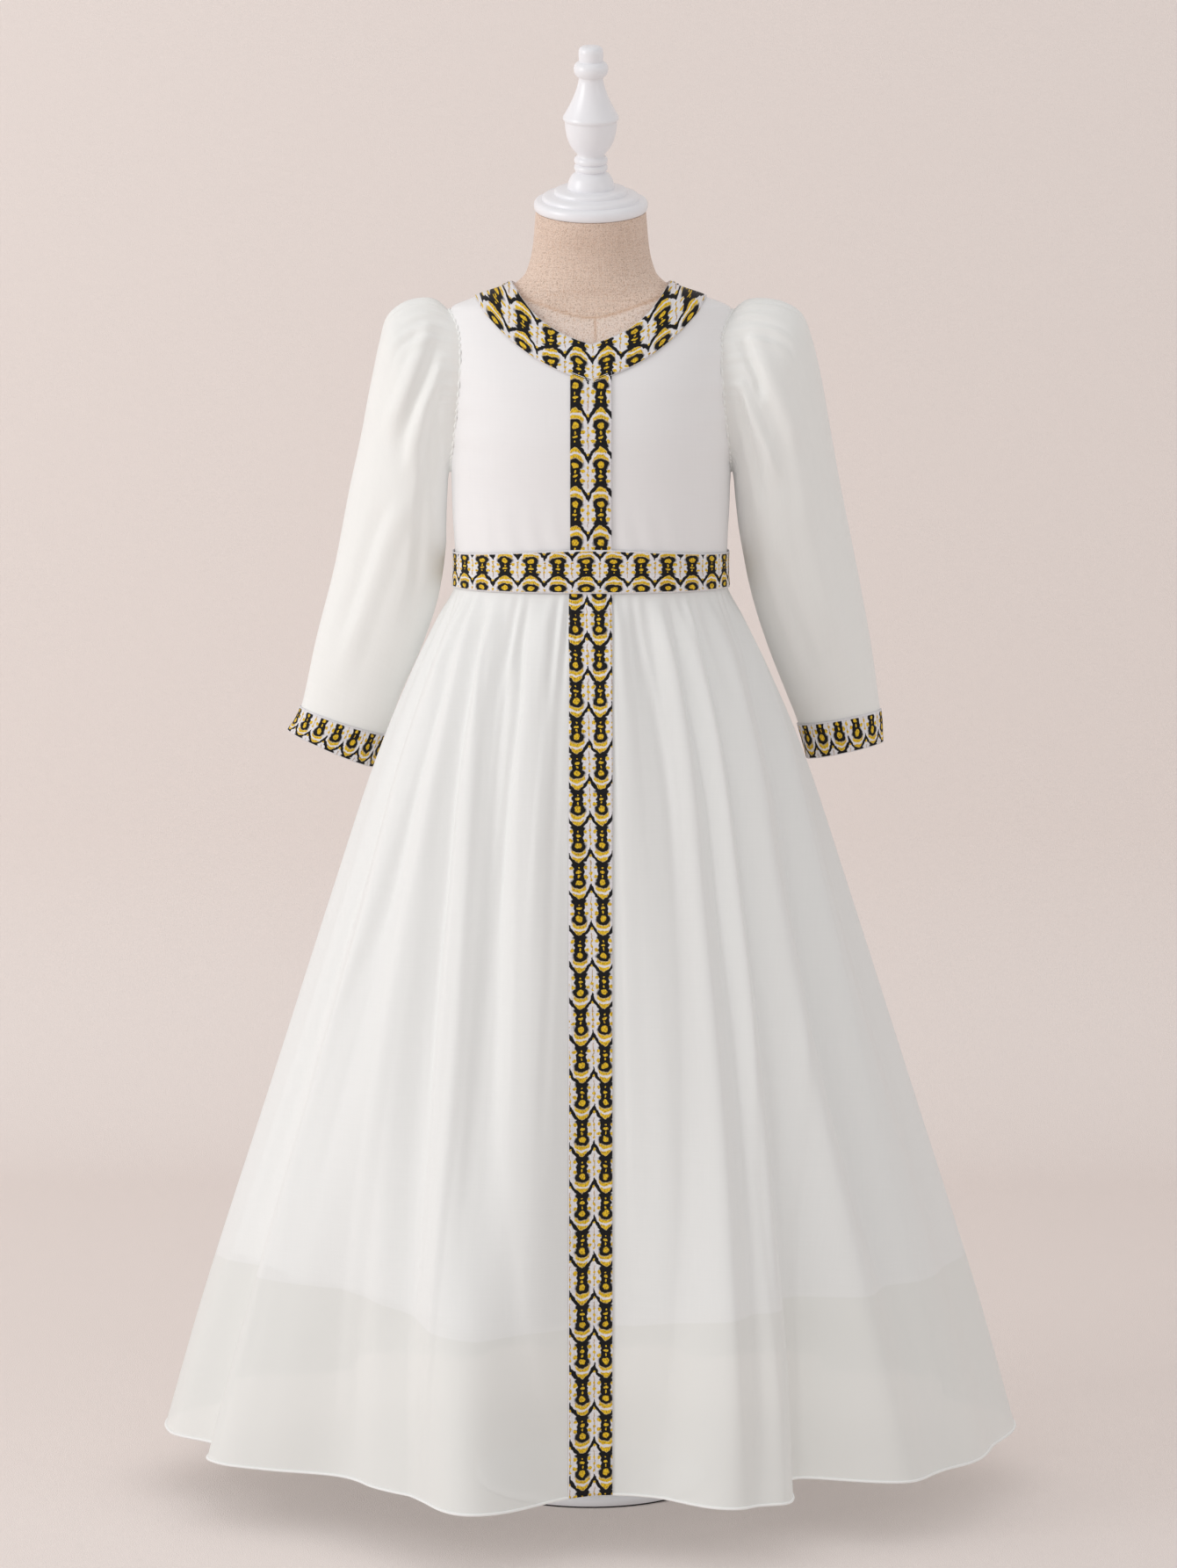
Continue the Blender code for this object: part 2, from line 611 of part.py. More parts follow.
def neck_band(name, material, collection, columns, back):
    outer_edge, inner_edge = neck_edges(back)

    def spot(s, t):
        share = math.copysign(neck_share(abs(2 * s - 1)), 2 * s - 1)
        x, height = neck_band_place(outer_edge, inner_edge, share, t)
        return form_angle(x, height, back), height

    def inner(s, t):
        return bodice_clearance(spot(s, t)[1]) + BODICE_CLOTH + NECK_BAND_CLEAR_OF_BODICE

    def outer(s, t):
        return inner(s, t) + RIBBON_CLOTH

    def keep(point):
        point.y = max(point.y, SEAM_GAP / 2) if back else min(point.y, -SEAM_GAP / 2)
        return point

    return cloth_wall(
        name,
        material,
        collection,
        lambda s, t: on_form(*spot(s, t)),
        columns,
        NECK_BAND_ROWS,
        inner,
        outer,
        keep,
    )


def waist_band(name, material, collection, columns, rows, back):
    def place(s, t):
        angle = -90.0 + 180.0 * s if not back else 90.0 + 180.0 * s
        narrowing = (WAIST_BAND_FRONT_WIDTH - WAIST_BAND_SIDE_WIDTH) * math.sin(math.radians(angle)) ** 2
        height = WAIST_BAND_BOTTOM + (WAIST_BAND_FRONT_WIDTH - narrowing) * t
        return on_form(angle, height)

    def keep(point):
        point.y = max(point.y, SEAM_GAP / 2) if back else min(point.y, -SEAM_GAP / 2)
        return point

    inner = WAIST_BAND_CLEAR_OF_FORM
    return cloth_wall(
        name, material, collection, place, columns, rows, inner, inner + RIBBON_CLOTH, keep
    )


# Skirt and its lining

SKIRT_LENGTH = WAIST_SEAM_HEIGHT - HEM_HEIGHT
FOLD_START_HEIGHT = WAIST_BAND_BOTTOM + 0.001
FOLD_FULL_HEIGHT = 0.735


def fold_offset(angle, height):
    """How far the folds stand out of the skirt's plain sections, and in where it is negative."""
    down = (WAIST_SEAM_HEIGHT - height) / SKIRT_LENGTH
    stations = (0.05, 0.5, 1.0)
    offset = 0.0
    for fold in SKIRT_FRONT_FOLDS + SKIRT_BACK_FOLDS:
        crest = smooth_through(stations, fold[0:3], down)
        spread = smooth_through(stations, fold[6:9], down)
        beside = turn_between(angle, crest)
        if abs(beside) < spread:
            offset += smooth_through(stations, fold[3:6], down) * hump(beside, spread)
    return offset * (1 - ease(FOLD_FULL_HEIGHT, FOLD_START_HEIGHT, height))


def skirt_radius(angle, height):
    return section_radius(section_at(SKIRT_SECTIONS, height), angle) + fold_offset(angle, height)


def skirt_point(angle, height):
    return round_point(skirt_radius(angle, height), angle, height)


def on_skirt(angle, height):
    return skirt_point(angle, height), outward_normal(
        skirt_point, angle, height, round_point(1.0, angle, 0.0)
    )


LINING_INSET_AT_WAIST = CHIFFON_CLOTH + 0.0004
LINING_INSET_AT_HEM = 0.008
LINING_REACH = 6.0


def lining_point(angle, height):
    """The lining hangs inside the deepest fold near it."""
    down = (WAIST_SEAM_HEIGHT - height) / SKIRT_LENGTH
    nearby = (-LINING_REACH, -LINING_REACH / 2, 0.0, LINING_REACH / 2, LINING_REACH)
    inset = LINING_INSET_AT_WAIST + (LINING_INSET_AT_HEM - LINING_INSET_AT_WAIST) * ease(0.02, 0.25, down)
    plain = section_radius(section_at(SKIRT_SECTIONS, height), angle)
    fold = min(fold_offset(angle + step, height) for step in nearby)
    return round_point(plain + min(fold, 0.5 * fold) - inset, angle, height)


def on_lining(angle, height):
    return lining_point(angle, height), outward_normal(
        lining_point, angle, height, round_point(1.0, angle, 0.0)
    )


RIBBON_COLUMNS = 4


def ribbon_edge_angle(height):
    return math.degrees(math.asin(0.5 * RIBBON_WIDTH / skirt_radius(0.0, height)))


def keep_in_quarter(back, side):
    """Holds a point clear of the side seams and, where side is -1 or 1, of the centre-back seam."""
    half = SEAM_GAP / 2

    def keep(point):
        point.y = max(point.y, half) if back else min(point.y, -half)
        if side:
            point.x = side * max(side * point.x, half)
        point.z = min(point.z, WAIST_SEAM_HEIGHT - half)
        return point

    return keep


def row_height(heights, t):
    return heights[round(t * (len(heights) - 1))]


def skirt_front_panel(name, material, collection, columns):
    ribbon_share = RIBBON_COLUMNS / columns
    rows = len(SKIRT_ROW_HEIGHTS) - 1

    def place(s, t):
        height = row_height(SKIRT_ROW_HEIGHTS, t)
        share = 2 * s - 1
        edge = ribbon_edge_angle(height)
        if abs(share) <= ribbon_share + 1e-9:
            return on_skirt(edge * share / ribbon_share, height)
        beyond = (abs(share) - ribbon_share) / (1 - ribbon_share)
        return on_skirt(math.copysign(edge + (90.0 - edge) * beyond, share), height)

    return cloth_wall(
        name, material, collection, place, columns, rows, -CHIFFON_CLOTH, 0.0, keep_in_quarter(False, 0)
    )


def skirt_ribbon(name, material, collection):
    """The ribbon lies on the skirt's own points, moved out, as far as the waist band."""
    heights = SKIRT_ROW_HEIGHTS[:-1]

    def place(s, t):
        height = row_height(heights, t)
        return on_skirt(ribbon_edge_angle(height) * (2 * s - 1), height)

    return cloth_wall(
        name,
        material,
        collection,
        place,
        RIBBON_COLUMNS,
        len(heights) - 1,
        SEAM_GAP,
        SEAM_GAP + RIBBON_CLOTH,
    )


def round_panel(name, material, collection, on_surface, cloth, angles, heights, columns, keep):
    """A skirt or lining panel between two angles, from its hem to the waist seam."""

    def place(s, t):
        return on_surface(angles[0] + (angles[1] - angles[0]) * s, row_height(heights, t))

    return cloth_wall(name, material, collection, place, columns, len(heights) - 1, -cloth, 0.0, keep)


# Sleeves

SLEEVE_ROOT_CLEAR = 0.0008
SLEEVE_ROOT_OUT = 0.0036
CREASE_FADE_START = 4
CREASE_FADE_END = 9
GATHER_HEIGHT = 0.0016
GATHER_FADE_END = 5
GATHER_REACH = 118
SLEEVE_CORNERS = ARMHOLE_CORNERS + tuple(360 - corner for corner in ARMHOLE_CORNERS[-2:0:-1])
SLEEVE_COLUMNS = 2 * len(SLEEVE_CORNERS)


def sleeve_turn(column):
    """Degrees round the sleeve. Each second column lies half-way between two corners of the armhole."""
    corner = column // 2
    low = SLEEVE_CORNERS[corner % len(SLEEVE_CORNERS)]
    high = SLEEVE_CORNERS[(corner + 1) % len(SLEEVE_CORNERS)]
    return (low + (high - low) % 360 * (column % 2) / 2) % 360


def armhole_loop_point(side, turn, clear):
    angle, height = armhole_angle_height(turn, SEAM_GAP)
    point, normal = on_form(side * angle, height)
    return point + normal * clear


def sleeve_ring_point(sections, creases, side, ring, column):
    """Ring 0 and 1 follow the armhole, and each later ring is a section. Column 0 is its outer edge."""
    column = column % SLEEVE_COLUMNS
    turn = sleeve_turn(column)
    if ring < 2:
        clear = SLEEVE_ROOT_OUT if ring else SLEEVE_ROOT_CLEAR
        before = armhole_loop_point(side, sleeve_turn(column - column % 2), clear)
        after = armhole_loop_point(side, sleeve_turn((column + column % 2) % SLEEVE_COLUMNS), clear)
        return (before + after) / 2
    section = sections[ring - 2]
    outer = Vector((section.outer_x, section.behind, section.outer_z))
    inner = Vector((section.inner_x, section.behind, section.inner_z))
    middle = (outer + inner) / 2
    across = (outer - inner) / 2
    along = ring - 2
    growth = 0.0
    for crease in creases:
        blend = min(1.0, along / CREASE_FADE_START)
        crest = crease.head_angle + (crease.elbow_angle - crease.head_angle) * blend
        height = crease.head_height + (crease.elbow_height - crease.head_height) * blend
        fade = 1 - ease(CREASE_FADE_START, CREASE_FADE_END, along)
        growth += height * fade * hump(turn_between(turn, crest), crease.spread)
    if abs(turn_between(turn, 0.0)) < GATHER_REACH:
        gather = GATHER_HEIGHT if column % 2 else -GATHER_HEIGHT
        growth += gather * (1 - ease(0, GATHER_FADE_END, along))
    depth = Vector((0.0, -section.half_depth, 0.0))
    turned = math.radians(turn)
    spoke = across * math.cos(turned) + depth * math.sin(turned)
    return middle + spoke + spoke.normalized() * growth


def sleeve_place(sections, creases, side, first_ring, rings):
    """place(s, t) for the tube from first_ring over this many rings."""
    last = len(sections) + 1

    def place(s, t):
        column = round(s * SLEEVE_COLUMNS)
        ring = first_ring + round(t * rings)
        point = sleeve_ring_point(sections, creases, side, ring, column)
        before = sleeve_ring_point(sections, creases, side, max(ring - 1, 0), column)
        after = sleeve_ring_point(sections, creases, side, min(ring + 1, last), column)
        ahead = sleeve_ring_point(sections, creases, side, ring, column + 1)
        behind = sleeve_ring_point(sections, creases, side, ring, column - 1)
        opposite = sleeve_ring_point(sections, creases, side, ring, column + SLEEVE_COLUMNS // 2)
        normal = (ahead - behind).cross(after - before).normalized()
        return point, normal if normal.dot(point - opposite) > 0 else -normal

    return place


def sleeve(name, material, collection, sections, creases, side):
    rings = len(sections) + 1
    return cloth_wall(
        name,
        material,
        collection,
        sleeve_place(sections, creases, side, 0, rings),
        SLEEVE_COLUMNS,
        rings,
        -CHIFFON_CLOTH,
        0.0,
        tube=True,
    )


def cuff(name, material, collection, sections, creases, side):
    return cloth_wall(
        name,
        material,
        collection,
        sleeve_place(sections, creases, side, len(sections), 1),
        SLEEVE_COLUMNS,
        1,
        SEAM_GAP,
        SEAM_GAP + RIBBON_CLOTH,
        tube=True,
    )


# Dress form

FORM_RING_HEIGHTS = (
    0.600, 0.660, 0.730, 0.785, 0.840, 0.890, 0.925, 0.950, 0.970, 0.985,
    0.994, 1.000, 1.005, 1.010, 1.0155, 1.021, 1.030, 1.048, 1.0815,
)
FORM_COLUMNS = 28


def lean(point):
    """The neck leans forward, so that its flat top is at right angles to the tilted cap."""
    share = ease(NECK_LEAN_START, NECK_TOP_HEIGHT, point.z)
    pivot = Vector((0.0, 0.0, NECK_LEAN_START))
    turn = Matrix.Rotation(math.radians(CAP_TILT) * share, 4, "X")
    return pivot + turn @ (point - pivot)


def form_body(name, material, collection):
    builder = bmesh.new()
    last = len(FORM_RING_HEIGHTS) - 1
    sheet = bmesh.ops.create_grid(builder, x_segments=FORM_COLUMNS, y_segments=last, size=1.0)["verts"]
    for vert in sheet:
        height = FORM_RING_HEIGHTS[round((0.5 + 0.5 * vert.co.y) * last)]
        point, normal = on_form(180.0 * vert.co.x, height)
        shoulder = ease(0.975, 0.994, height) - ease(1.010, 1.0155, height)
        under = FORM_UNDER_CLOTH + FORM_UNDER_SHOULDER * shoulder
        vert.co = lean(Vector((point.x - normal.x * under, point.y - normal.y * under, height)))
    bmesh.ops.remove_doubles(builder, verts=builder.verts, dist=1e-6)
    bmesh.ops.holes_fill(builder, edges=builder.edges, sides=0)
    bmesh.ops.recalc_face_normals(builder, faces=builder.faces)
    mesh = bpy.data.meshes.new(name)
    builder.to_mesh(mesh)
    builder.free()
    finish_smooth(mesh)
    return add_object(name, mesh, material, collection)


def form_cap(name, material, collection, steps):
    cap = turned_piece(name, material, collection, CAP_RINGS, steps)
    top = lean(Vector((0.0, 0.0, NECK_TOP_HEIGHT)))
    tilt = Matrix.Rotation(math.radians(CAP_TILT), 4, "X")
    cap.location = top + tilt @ Vector((0.0, 0.0, SEAM_GAP))
    cap.rotation_euler = (math.radians(CAP_TILT), 0.0, 0.0)
    return cap


def form_pole(name, material, collection, segments):
    bottom = BASE_THICKNESS + 0.012 + SEAM_GAP
    length = FORM_BOTTOM_HEIGHT - SEAM_GAP - bottom
    builder = bmesh.new()
    bmesh.ops.create_cone(
        builder, cap_ends=True, segments=segments, radius1=POLE_RADIUS, radius2=POLE_RADIUS, depth=length
    )
    mesh = bpy.data.meshes.new(name)
    builder.to_mesh(mesh)
    builder.free()
    finish_smooth(mesh)
    pole = add_object(name, mesh, material, collection)
    pole.location = (0.0, 0.0, bottom + length / 2)
    return pole


# Building

for old in list(bpy.data.objects):
    bpy.data.objects.remove(old, do_unlink=True)

dress = bpy.data.collections.new("princess_dress")
bpy.context.scene.collection.children.link(dress)

chiffon = make_material("white chiffon", CHIFFON_WHITE, 0.75)
satin = make_material("white satin lining", SATIN_WHITE, 0.55)
ribbon = make_material("woven ribbon", RIBBON_GOLD, 0.60)
linen = make_material("beige linen", LINEN_BEIGE, 0.90)
gloss = make_material("white gloss paint", GLOSS_WHITE, 0.20, coat=0.5)
steel = make_material("brushed steel", STEEL_GREY, 0.35, metallic=0.9)

form_body("form_body", linen, dress)
form_cap("form_cap", gloss, dress, 16)
form_pole("form_pole", steel, dress, 16)
turned_piece("form_base", gloss, dress, BASE_RINGS, 32)

bodice_panel("bodice_front", satin, dress, 20, -1, 1, False)
bodice_panel("bodice_back_right", satin, dress, 10, -1, 0, True)
bodice_panel("bodice_back_left", satin, dress, 10, 0, 1, True)
bodice_ribbon("trim_bodice", ribbon, dress, 4, 8)
neck_band("neck_band_front", ribbon, dress, 20, False)
neck_band("neck_band_back", ribbon, dress, 20, True)
waist_band("waist_band_front", ribbon, dress, 30, 1, False)
waist_band("waist_band_back", ribbon, dress, 30, 1, True)

skirt_front_panel("skirt_front", chiffon, dress, 52)
skirt_ribbon("trim_skirt", ribbon, dress)
back_left = keep_in_quarter(True, 1)
back_right = keep_in_quarter(True, -1)
round_panel(
    "skirt_back_left", chiffon, dress, on_skirt, CHIFFON_CLOTH, (90, 180), SKIRT_ROW_HEIGHTS, 18, back_left
)
round_panel(
    "skirt_back_right", chiffon, dress, on_skirt, CHIFFON_CLOTH, (-180, -90), SKIRT_ROW_HEIGHTS, 18, back_right
)
lining_keep = keep_in_quarter(False, 0)
lining_back_keep = keep_in_quarter(True, 0)
round_panel(
    "lining_front", satin, dress, on_lining, LINING_CLOTH, (-90, 90), LINING_ROW_HEIGHTS, 26, lining_keep
)
round_panel(
    "lining_back", satin, dress, on_lining, LINING_CLOTH, (90, 270), LINING_ROW_HEIGHTS, 24, lining_back_keep
)

for suffix, sections, creases, side in (
    ("right", RIGHT_SLEEVE_SECTIONS, RIGHT_SLEEVE_CREASES, -1),
    ("left", LEFT_SLEEVE_SECTIONS, LEFT_SLEEVE_CREASES, 1),
):
    sleeve(f"sleeve_{suffix}", chiffon, dress, sections, creases, side)
    cuff(f"cuff_{suffix}", ribbon, dress, sections, creases, side)
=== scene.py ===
import math

import bpy
import numpy as np
from mathutils import Matrix, Vector


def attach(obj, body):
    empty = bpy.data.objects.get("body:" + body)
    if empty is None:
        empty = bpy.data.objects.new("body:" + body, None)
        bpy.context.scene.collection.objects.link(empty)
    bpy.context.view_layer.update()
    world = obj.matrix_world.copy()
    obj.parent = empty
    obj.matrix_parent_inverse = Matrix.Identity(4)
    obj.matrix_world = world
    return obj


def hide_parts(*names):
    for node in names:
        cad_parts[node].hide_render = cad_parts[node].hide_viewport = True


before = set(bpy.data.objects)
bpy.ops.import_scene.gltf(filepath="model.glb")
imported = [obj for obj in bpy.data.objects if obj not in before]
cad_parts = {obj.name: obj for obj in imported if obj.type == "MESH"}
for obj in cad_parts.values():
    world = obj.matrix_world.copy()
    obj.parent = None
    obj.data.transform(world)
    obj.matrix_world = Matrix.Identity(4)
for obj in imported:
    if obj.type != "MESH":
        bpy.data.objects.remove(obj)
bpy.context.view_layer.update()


# The studio
# A plain pale floor runs up into a plain pale wall, which is clear from behind. A large soft light stands
# at the viewer's left, a weak one at the right, and the camera is 4 m away, a little above the shoulders.
CAMERA_PLACE = (-0.002, -4.0, 1.08)
CAMERA_DOWN = 6.85
CAMERA_LENS = 109.71
FLOOR_PALE = (0.86, 0.785, 0.75)
FLOOR_FRONT = -9.0
WALL_DISTANCE = 1.6
WALL_HEIGHT = 4.0
STUDIO_HALF_WIDTH = 4.5
COVE_RADIUS = 0.35
COVE_STEPS = 12
WORLD_COLOUR = (1.0, 0.985, 0.98, 1.0)
WORLD_STRENGTH = 0.60
# Each soft light: its place, the point it is aimed at, its width and height, and its watts
SOFT_LIGHTS = {
    "key_light": ((-3.82, -1.65, 2.0), (0.0, 0.0, 0.7), (2.0, 2.4), 75.0),
    "fill_light": ((3.15, -2.35, 1.5), (0.0, 0.0, 0.6), (2.0, 2.0), 13.0),
    "top_light": ((0.0, -0.6, 3.6), (0.0, 0.2, 0.0), (3.0, 2.4), 7.0),
}


def add_node(tree, kind, *values, **settings):
    """A new node with its settings, and a value or a link for each of its first inputs."""
    node = tree.nodes.new(kind)
    for setting, value in settings.items():
        setattr(node, setting, value)
    for socket, value in zip(node.inputs, values):
        if isinstance(value, bpy.types.NodeSocket):
            tree.links.new(value, socket)
        elif value is not None:
            socket.default_value = value
    return node


def reckon(tree, operation, *values):
    return add_node(tree, "ShaderNodeMath", *values, operation=operation).outputs[0]


def noise(tree, place, scale, detail):
    return add_node(tree, "ShaderNodeTexNoise", place, None, scale, detail).outputs[0]


def object_place(tree):
    return add_node(tree, "ShaderNodeTexCoord").outputs["Object"]


def raise_surface(tree, shader, strength, distance, height):
    """A bump on the shader, from a height that changes over the surface."""
    bump = add_node(tree, "ShaderNodeBump", strength, distance, None, height)
    tree.links.new(bump.outputs["Normal"], shader.inputs["Normal"])


def new_material(name, colour, roughness, **finish):
    """A material and its shader, with the plain values of the finish on the shader's own sockets."""
    material = bpy.data.materials.new(name)
    material.use_nodes = True
    shader = material.node_tree.nodes["Principled BSDF"]
    shader.inputs["Base Color"].default_value = (*colour, 1.0)
    shader.inputs["Roughness"].default_value = roughness
    for socket, value in finish.items():
        shader.inputs[socket.replace("_", " ")].default_value = value
    return material, material.node_tree, shader


def put_in_scene(thing):
    bpy.context.scene.collection.objects.link(thing)


def make_studio():
    line = [(FLOOR_FRONT, 0.0)]
    for step in range(COVE_STEPS + 1):
        turn = math.radians(90 * step / COVE_STEPS)
        line.append((WALL_DISTANCE - COVE_RADIUS * (1 - math.sin(turn)), COVE_RADIUS * (1 - math.cos(turn))))
    line.append((WALL_DISTANCE, WALL_HEIGHT))
    points = [(side * STUDIO_HALF_WIDTH, y, z) for side in (-1, 1) for y, z in line]
    count = len(line)
    faces = [(i, i + count, i + count + 1, i + 1) for i in range(count - 1)]
    mesh = bpy.data.meshes.new("studio_floor")
    mesh.from_pydata(points, [], faces)
    mesh.shade_smooth()
    material, tree, shader = new_material("pale studio floor", FLOOR_PALE, 0.95)
    raise_surface(tree, shader, 0.25, 0.004, noise(tree, object_place(tree), 900.0, 3.0))
    behind = add_node(tree, "ShaderNodeNewGeometry").outputs["Backfacing"]
    tree.links.new(reckon(tree, "SUBTRACT", 1.0, behind), shader.inputs["Alpha"])
    mesh.materials.append(material)
    floor = bpy.data.objects.new("studio_floor", mesh)
    put_in_scene(floor)


def soft_light(name, place, aim, size, watts):
    light = bpy.data.lights.new(name, "AREA")
    light.shape = "RECTANGLE"
    light.size, light.size_y = size
    light.energy = watts
    lamp = bpy.data.objects.new(name, light)
    lamp.location = place
    lamp.rotation_euler = (Vector(aim) - Vector(place)).to_track_quat("-Z", "Y").to_euler()
    put_in_scene(lamp)


make_studio()
for name, (place, aim, size, watts) in SOFT_LIGHTS.items():
    soft_light(name, place, aim, size, watts)

world = bpy.data.worlds.new("studio_air")
world.use_nodes = True
background = world.node_tree.nodes["Background"]
background.inputs["Color"].default_value = WORLD_COLOUR
background.inputs["Strength"].default_value = WORLD_STRENGTH
bpy.context.scene.world = world
bpy.context.scene.view_settings.view_transform = "Standard"

camera_data = bpy.data.cameras.new("camera")
camera_data.sensor_width = 36.0
camera_data.lens = CAMERA_LENS
camera = bpy.data.objects.new("camera", camera_data)
camera.location = CAMERA_PLACE
camera.rotation_euler = (math.radians(90.0 - CAMERA_DOWN), 0.0, 0.0)
put_in_scene(camera)
bpy.context.scene.camera = camera


# The dress form's torso and neck
# A smooth moulded torso under a sewn cover of natural linen. The cover has a seam round the base of the
# neck and a short one down the middle of the chest, and its yarns are uneven, with thicker slubs.
FORM_COLUMNS = 192
TORSO_ROWS = 30
NECK_ROWS = 120
# Its sections are at these heights, each with a half-width, a depth in front and behind, and a squareness
FORM_HEIGHTS = (0.600, 0.660, 0.730, 0.785, 0.835, 0.885, 0.930, 0.960, 0.980, 0.997,
                1.0075, 1.0165, 1.029, 1.050, 1.0815)
FORM_HALF_WIDTHS = (0.1190, 0.1210, 0.1150, 0.1105, 0.1135, 0.1155, 0.1160, 0.1160, 0.1160, 0.1155,
                    0.0925, 0.0680, 0.0545, 0.0490, 0.0462)
FORM_FRONT_DEPTHS = (0.0900, 0.0910, 0.0865, 0.0830, 0.0850, 0.0870, 0.0800, 0.0680, 0.0575, 0.0500,
                     0.0475, 0.0465, 0.0460, 0.0455, 0.0450)
FORM_BACK_DEPTHS = (0.0960, 0.0980, 0.0870, 0.0815, 0.0840, 0.0870, 0.0850, 0.0790, 0.0710, 0.0640,
                    0.0580, 0.0520, 0.0485, 0.0465, 0.0450)
FORM_SQUARENESS = (2.2, 2.2, 2.3, 2.4, 2.4, 2.4, 2.4, 2.4, 2.3, 2.2, 2.1, 2.0, 2.0, 2.0, 2.0)
FORM_UNDER_CLOTH = 0.0006
SHOULDER_INSET = 0.0020
NECK_LEAN_START = 1.020
NECK_TOP = 1.0815
CAP_TILT = 14.0
NECK_SEAM_FRONT = 0.9920
NECK_SEAM_SIDE = 1.0150
CHEST_SEAM_X = 0.0035
SEAM_HALF_WIDTH = 0.0010
SEAM_DEPTH = 0.0005
GIRTH_RADIUS = 0.075
LINEN_BEIGE = (0.90, 0.73, 0.62)
LINEN_SHADE = (0.69, 0.52, 0.42)
LINEN_PALE = (0.91, 0.78, 0.70)
LINEN_FLECK = (0.36, 0.20, 0.11)
LINEN_RUST = (0.62, 0.36, 0.20)
LINEN_YARN = 0.00075
# Each layer of flecks: its stretch across and along the cloth, its seed and its strength
FLECK_LAYERS = ((330.0, 1300.0, 3.1, 0.75), (1400.0, 380.0, 8.4, 0.75), (800.0, 700.0, 5.7, 0.65))


def smooth_through(places, values, at):
    """Values at places along a curve through a few of them that never runs past them."""
    places = np.asarray(places, float)
    values = np.asarray(values, float)
    steps = np.diff(values) / np.diff(places)
    before, after = steps[:-1], steps[1:]
    together = before * after > 0
    inner = np.where(together, 2 * before * after / np.where(together, before + after, 1.0), 0.0)
    slopes = np.concatenate(([steps[0]], inner, [steps[-1]]))
    at = np.clip(at, places[0], places[-1])
    index = np.clip(np.searchsorted(places, at, side="right") - 1, 0, len(places) - 2)
    length = places[index + 1] - places[index]
    f = (at - places[index]) / length
    return (
        (1 + 2 * f) * (1 - f) ** 2 * values[index]
        + f * (1 - f) ** 2 * length * slopes[index]
        + f**2 * (3 - 2 * f) * values[index + 1]
        - f**2 * (1 - f) * length * slopes[index + 1]
    )


def ease(low, high, value):
    """0 below low and 1 above high, with a smooth rise between them."""
    f = np.clip((np.asarray(value, float) - low) / (high - low), 0.0, 1.0)
    return f * f * (3 - 2 * f)


def round_points(radius, angle, height):
    """Points at an angle in degrees from the front, positive towards +X."""
    turn = np.radians(angle)
    return np.stack([radius * np.sin(turn), -radius * np.cos(turn), height + 0.0 * turn], axis=-1)


def section_radius(half_width, front_depth, back_depth, squareness, angle):
    across = np.abs(np.sin(np.radians(angle))) / half_width
    forward = np.cos(np.radians(angle))
    along = np.abs(forward) / np.where(forward > 0, front_depth, back_depth)
    return (across**squareness + along**squareness) ** (-1.0 / squareness)


def form_section(height):
    return [
        smooth_through(FORM_HEIGHTS, column, height)
        for column in (FORM_HALF_WIDTHS, FORM_FRONT_DEPTHS, FORM_BACK_DEPTHS, FORM_SQUARENESS)
    ]


def form_points(angle, height):
    return round_points(section_radius(*form_section(height), angle), angle, height)


def surface_normals(surface, angle, height):
    """Unit normals of a surface given by angle and height, on the side away from its axis."""
    round_step = surface(angle + 0.3, height) - surface(angle - 0.3, height)
    rising_step = surface(angle, height + 0.0004) - surface(angle, height - 0.0004)
    normals = np.cross(round_step, rising_step)
    return normals / np.linalg.norm(normals, axis=-1, keepdims=True)


def form_angles(x, height, back):
    """The angles at which the form's surface at these heights lies x to the side."""
    half_width, front_depth, back_depth, squareness = form_section(height)
    share = np.minimum(1.0, np.abs(x) / half_width)
    depth = (back_depth if back else front_depth) * (1 - share**squareness) ** (1 / squareness)
    angle = np.degrees(np.arctan2(np.abs(x), depth))
    return np.copysign(180.0 - angle if back else angle, x)


def grid_faces(rows, columns, closed=False):
    """Quads of a grid of points that is stored row by row, closed where the last column meets the first."""
    last = columns if closed else columns - 1
    row, column = np.meshgrid(np.arange(rows - 1), np.arange(last), indexing="ij")
    after = (column + 1) % columns
    corners = (row * columns + column, row * columns + after, (row + 1) * columns + after,
               (row + 1) * columns + column)
    return np.stack(corners, axis=-1).reshape(-1, 4)


def lay_flat(mesh, name, places):
    """A UV map from flat places, one for each point of the mesh."""
    corner_points = np.empty(len(mesh.loops), np.int32)
    mesh.loops.foreach_get("vertex_index", corner_points)
    flat = mesh.uv_layers.new(name=name)
    flat.data.foreach_set("uv", places.reshape(-1, 2)[corner_points].astype(np.float32).ravel())


def mark_points(mesh, name, values):
    """A value at each point of the mesh that a material reads."""
    marks = mesh.attributes.new(name, "FLOAT", "POINT")
    marks.data.foreach_set("value", values.astype(np.float32).ravel())


def make_piece(name, points, faces, material, replaced, places=None):
    """A smooth piece from its points. places are flat places on the cloth in metres, one for each point."""
    mesh = bpy.data.meshes.new(name)
    corners = [[int(corner) for corner in face] for face in faces]
    mesh.from_pydata(points.reshape(-1, 3).tolist(), [], corners)
    if places is not None:
        lay_flat(mesh, "cloth", places)
    mesh.shade_smooth()
    mesh.materials.append(material)
    piece = bpy.data.objects.new(name, mesh)
    put_in_scene(piece)
    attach(piece, "root")
    if replaced:
        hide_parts(*replaced)
    return piece


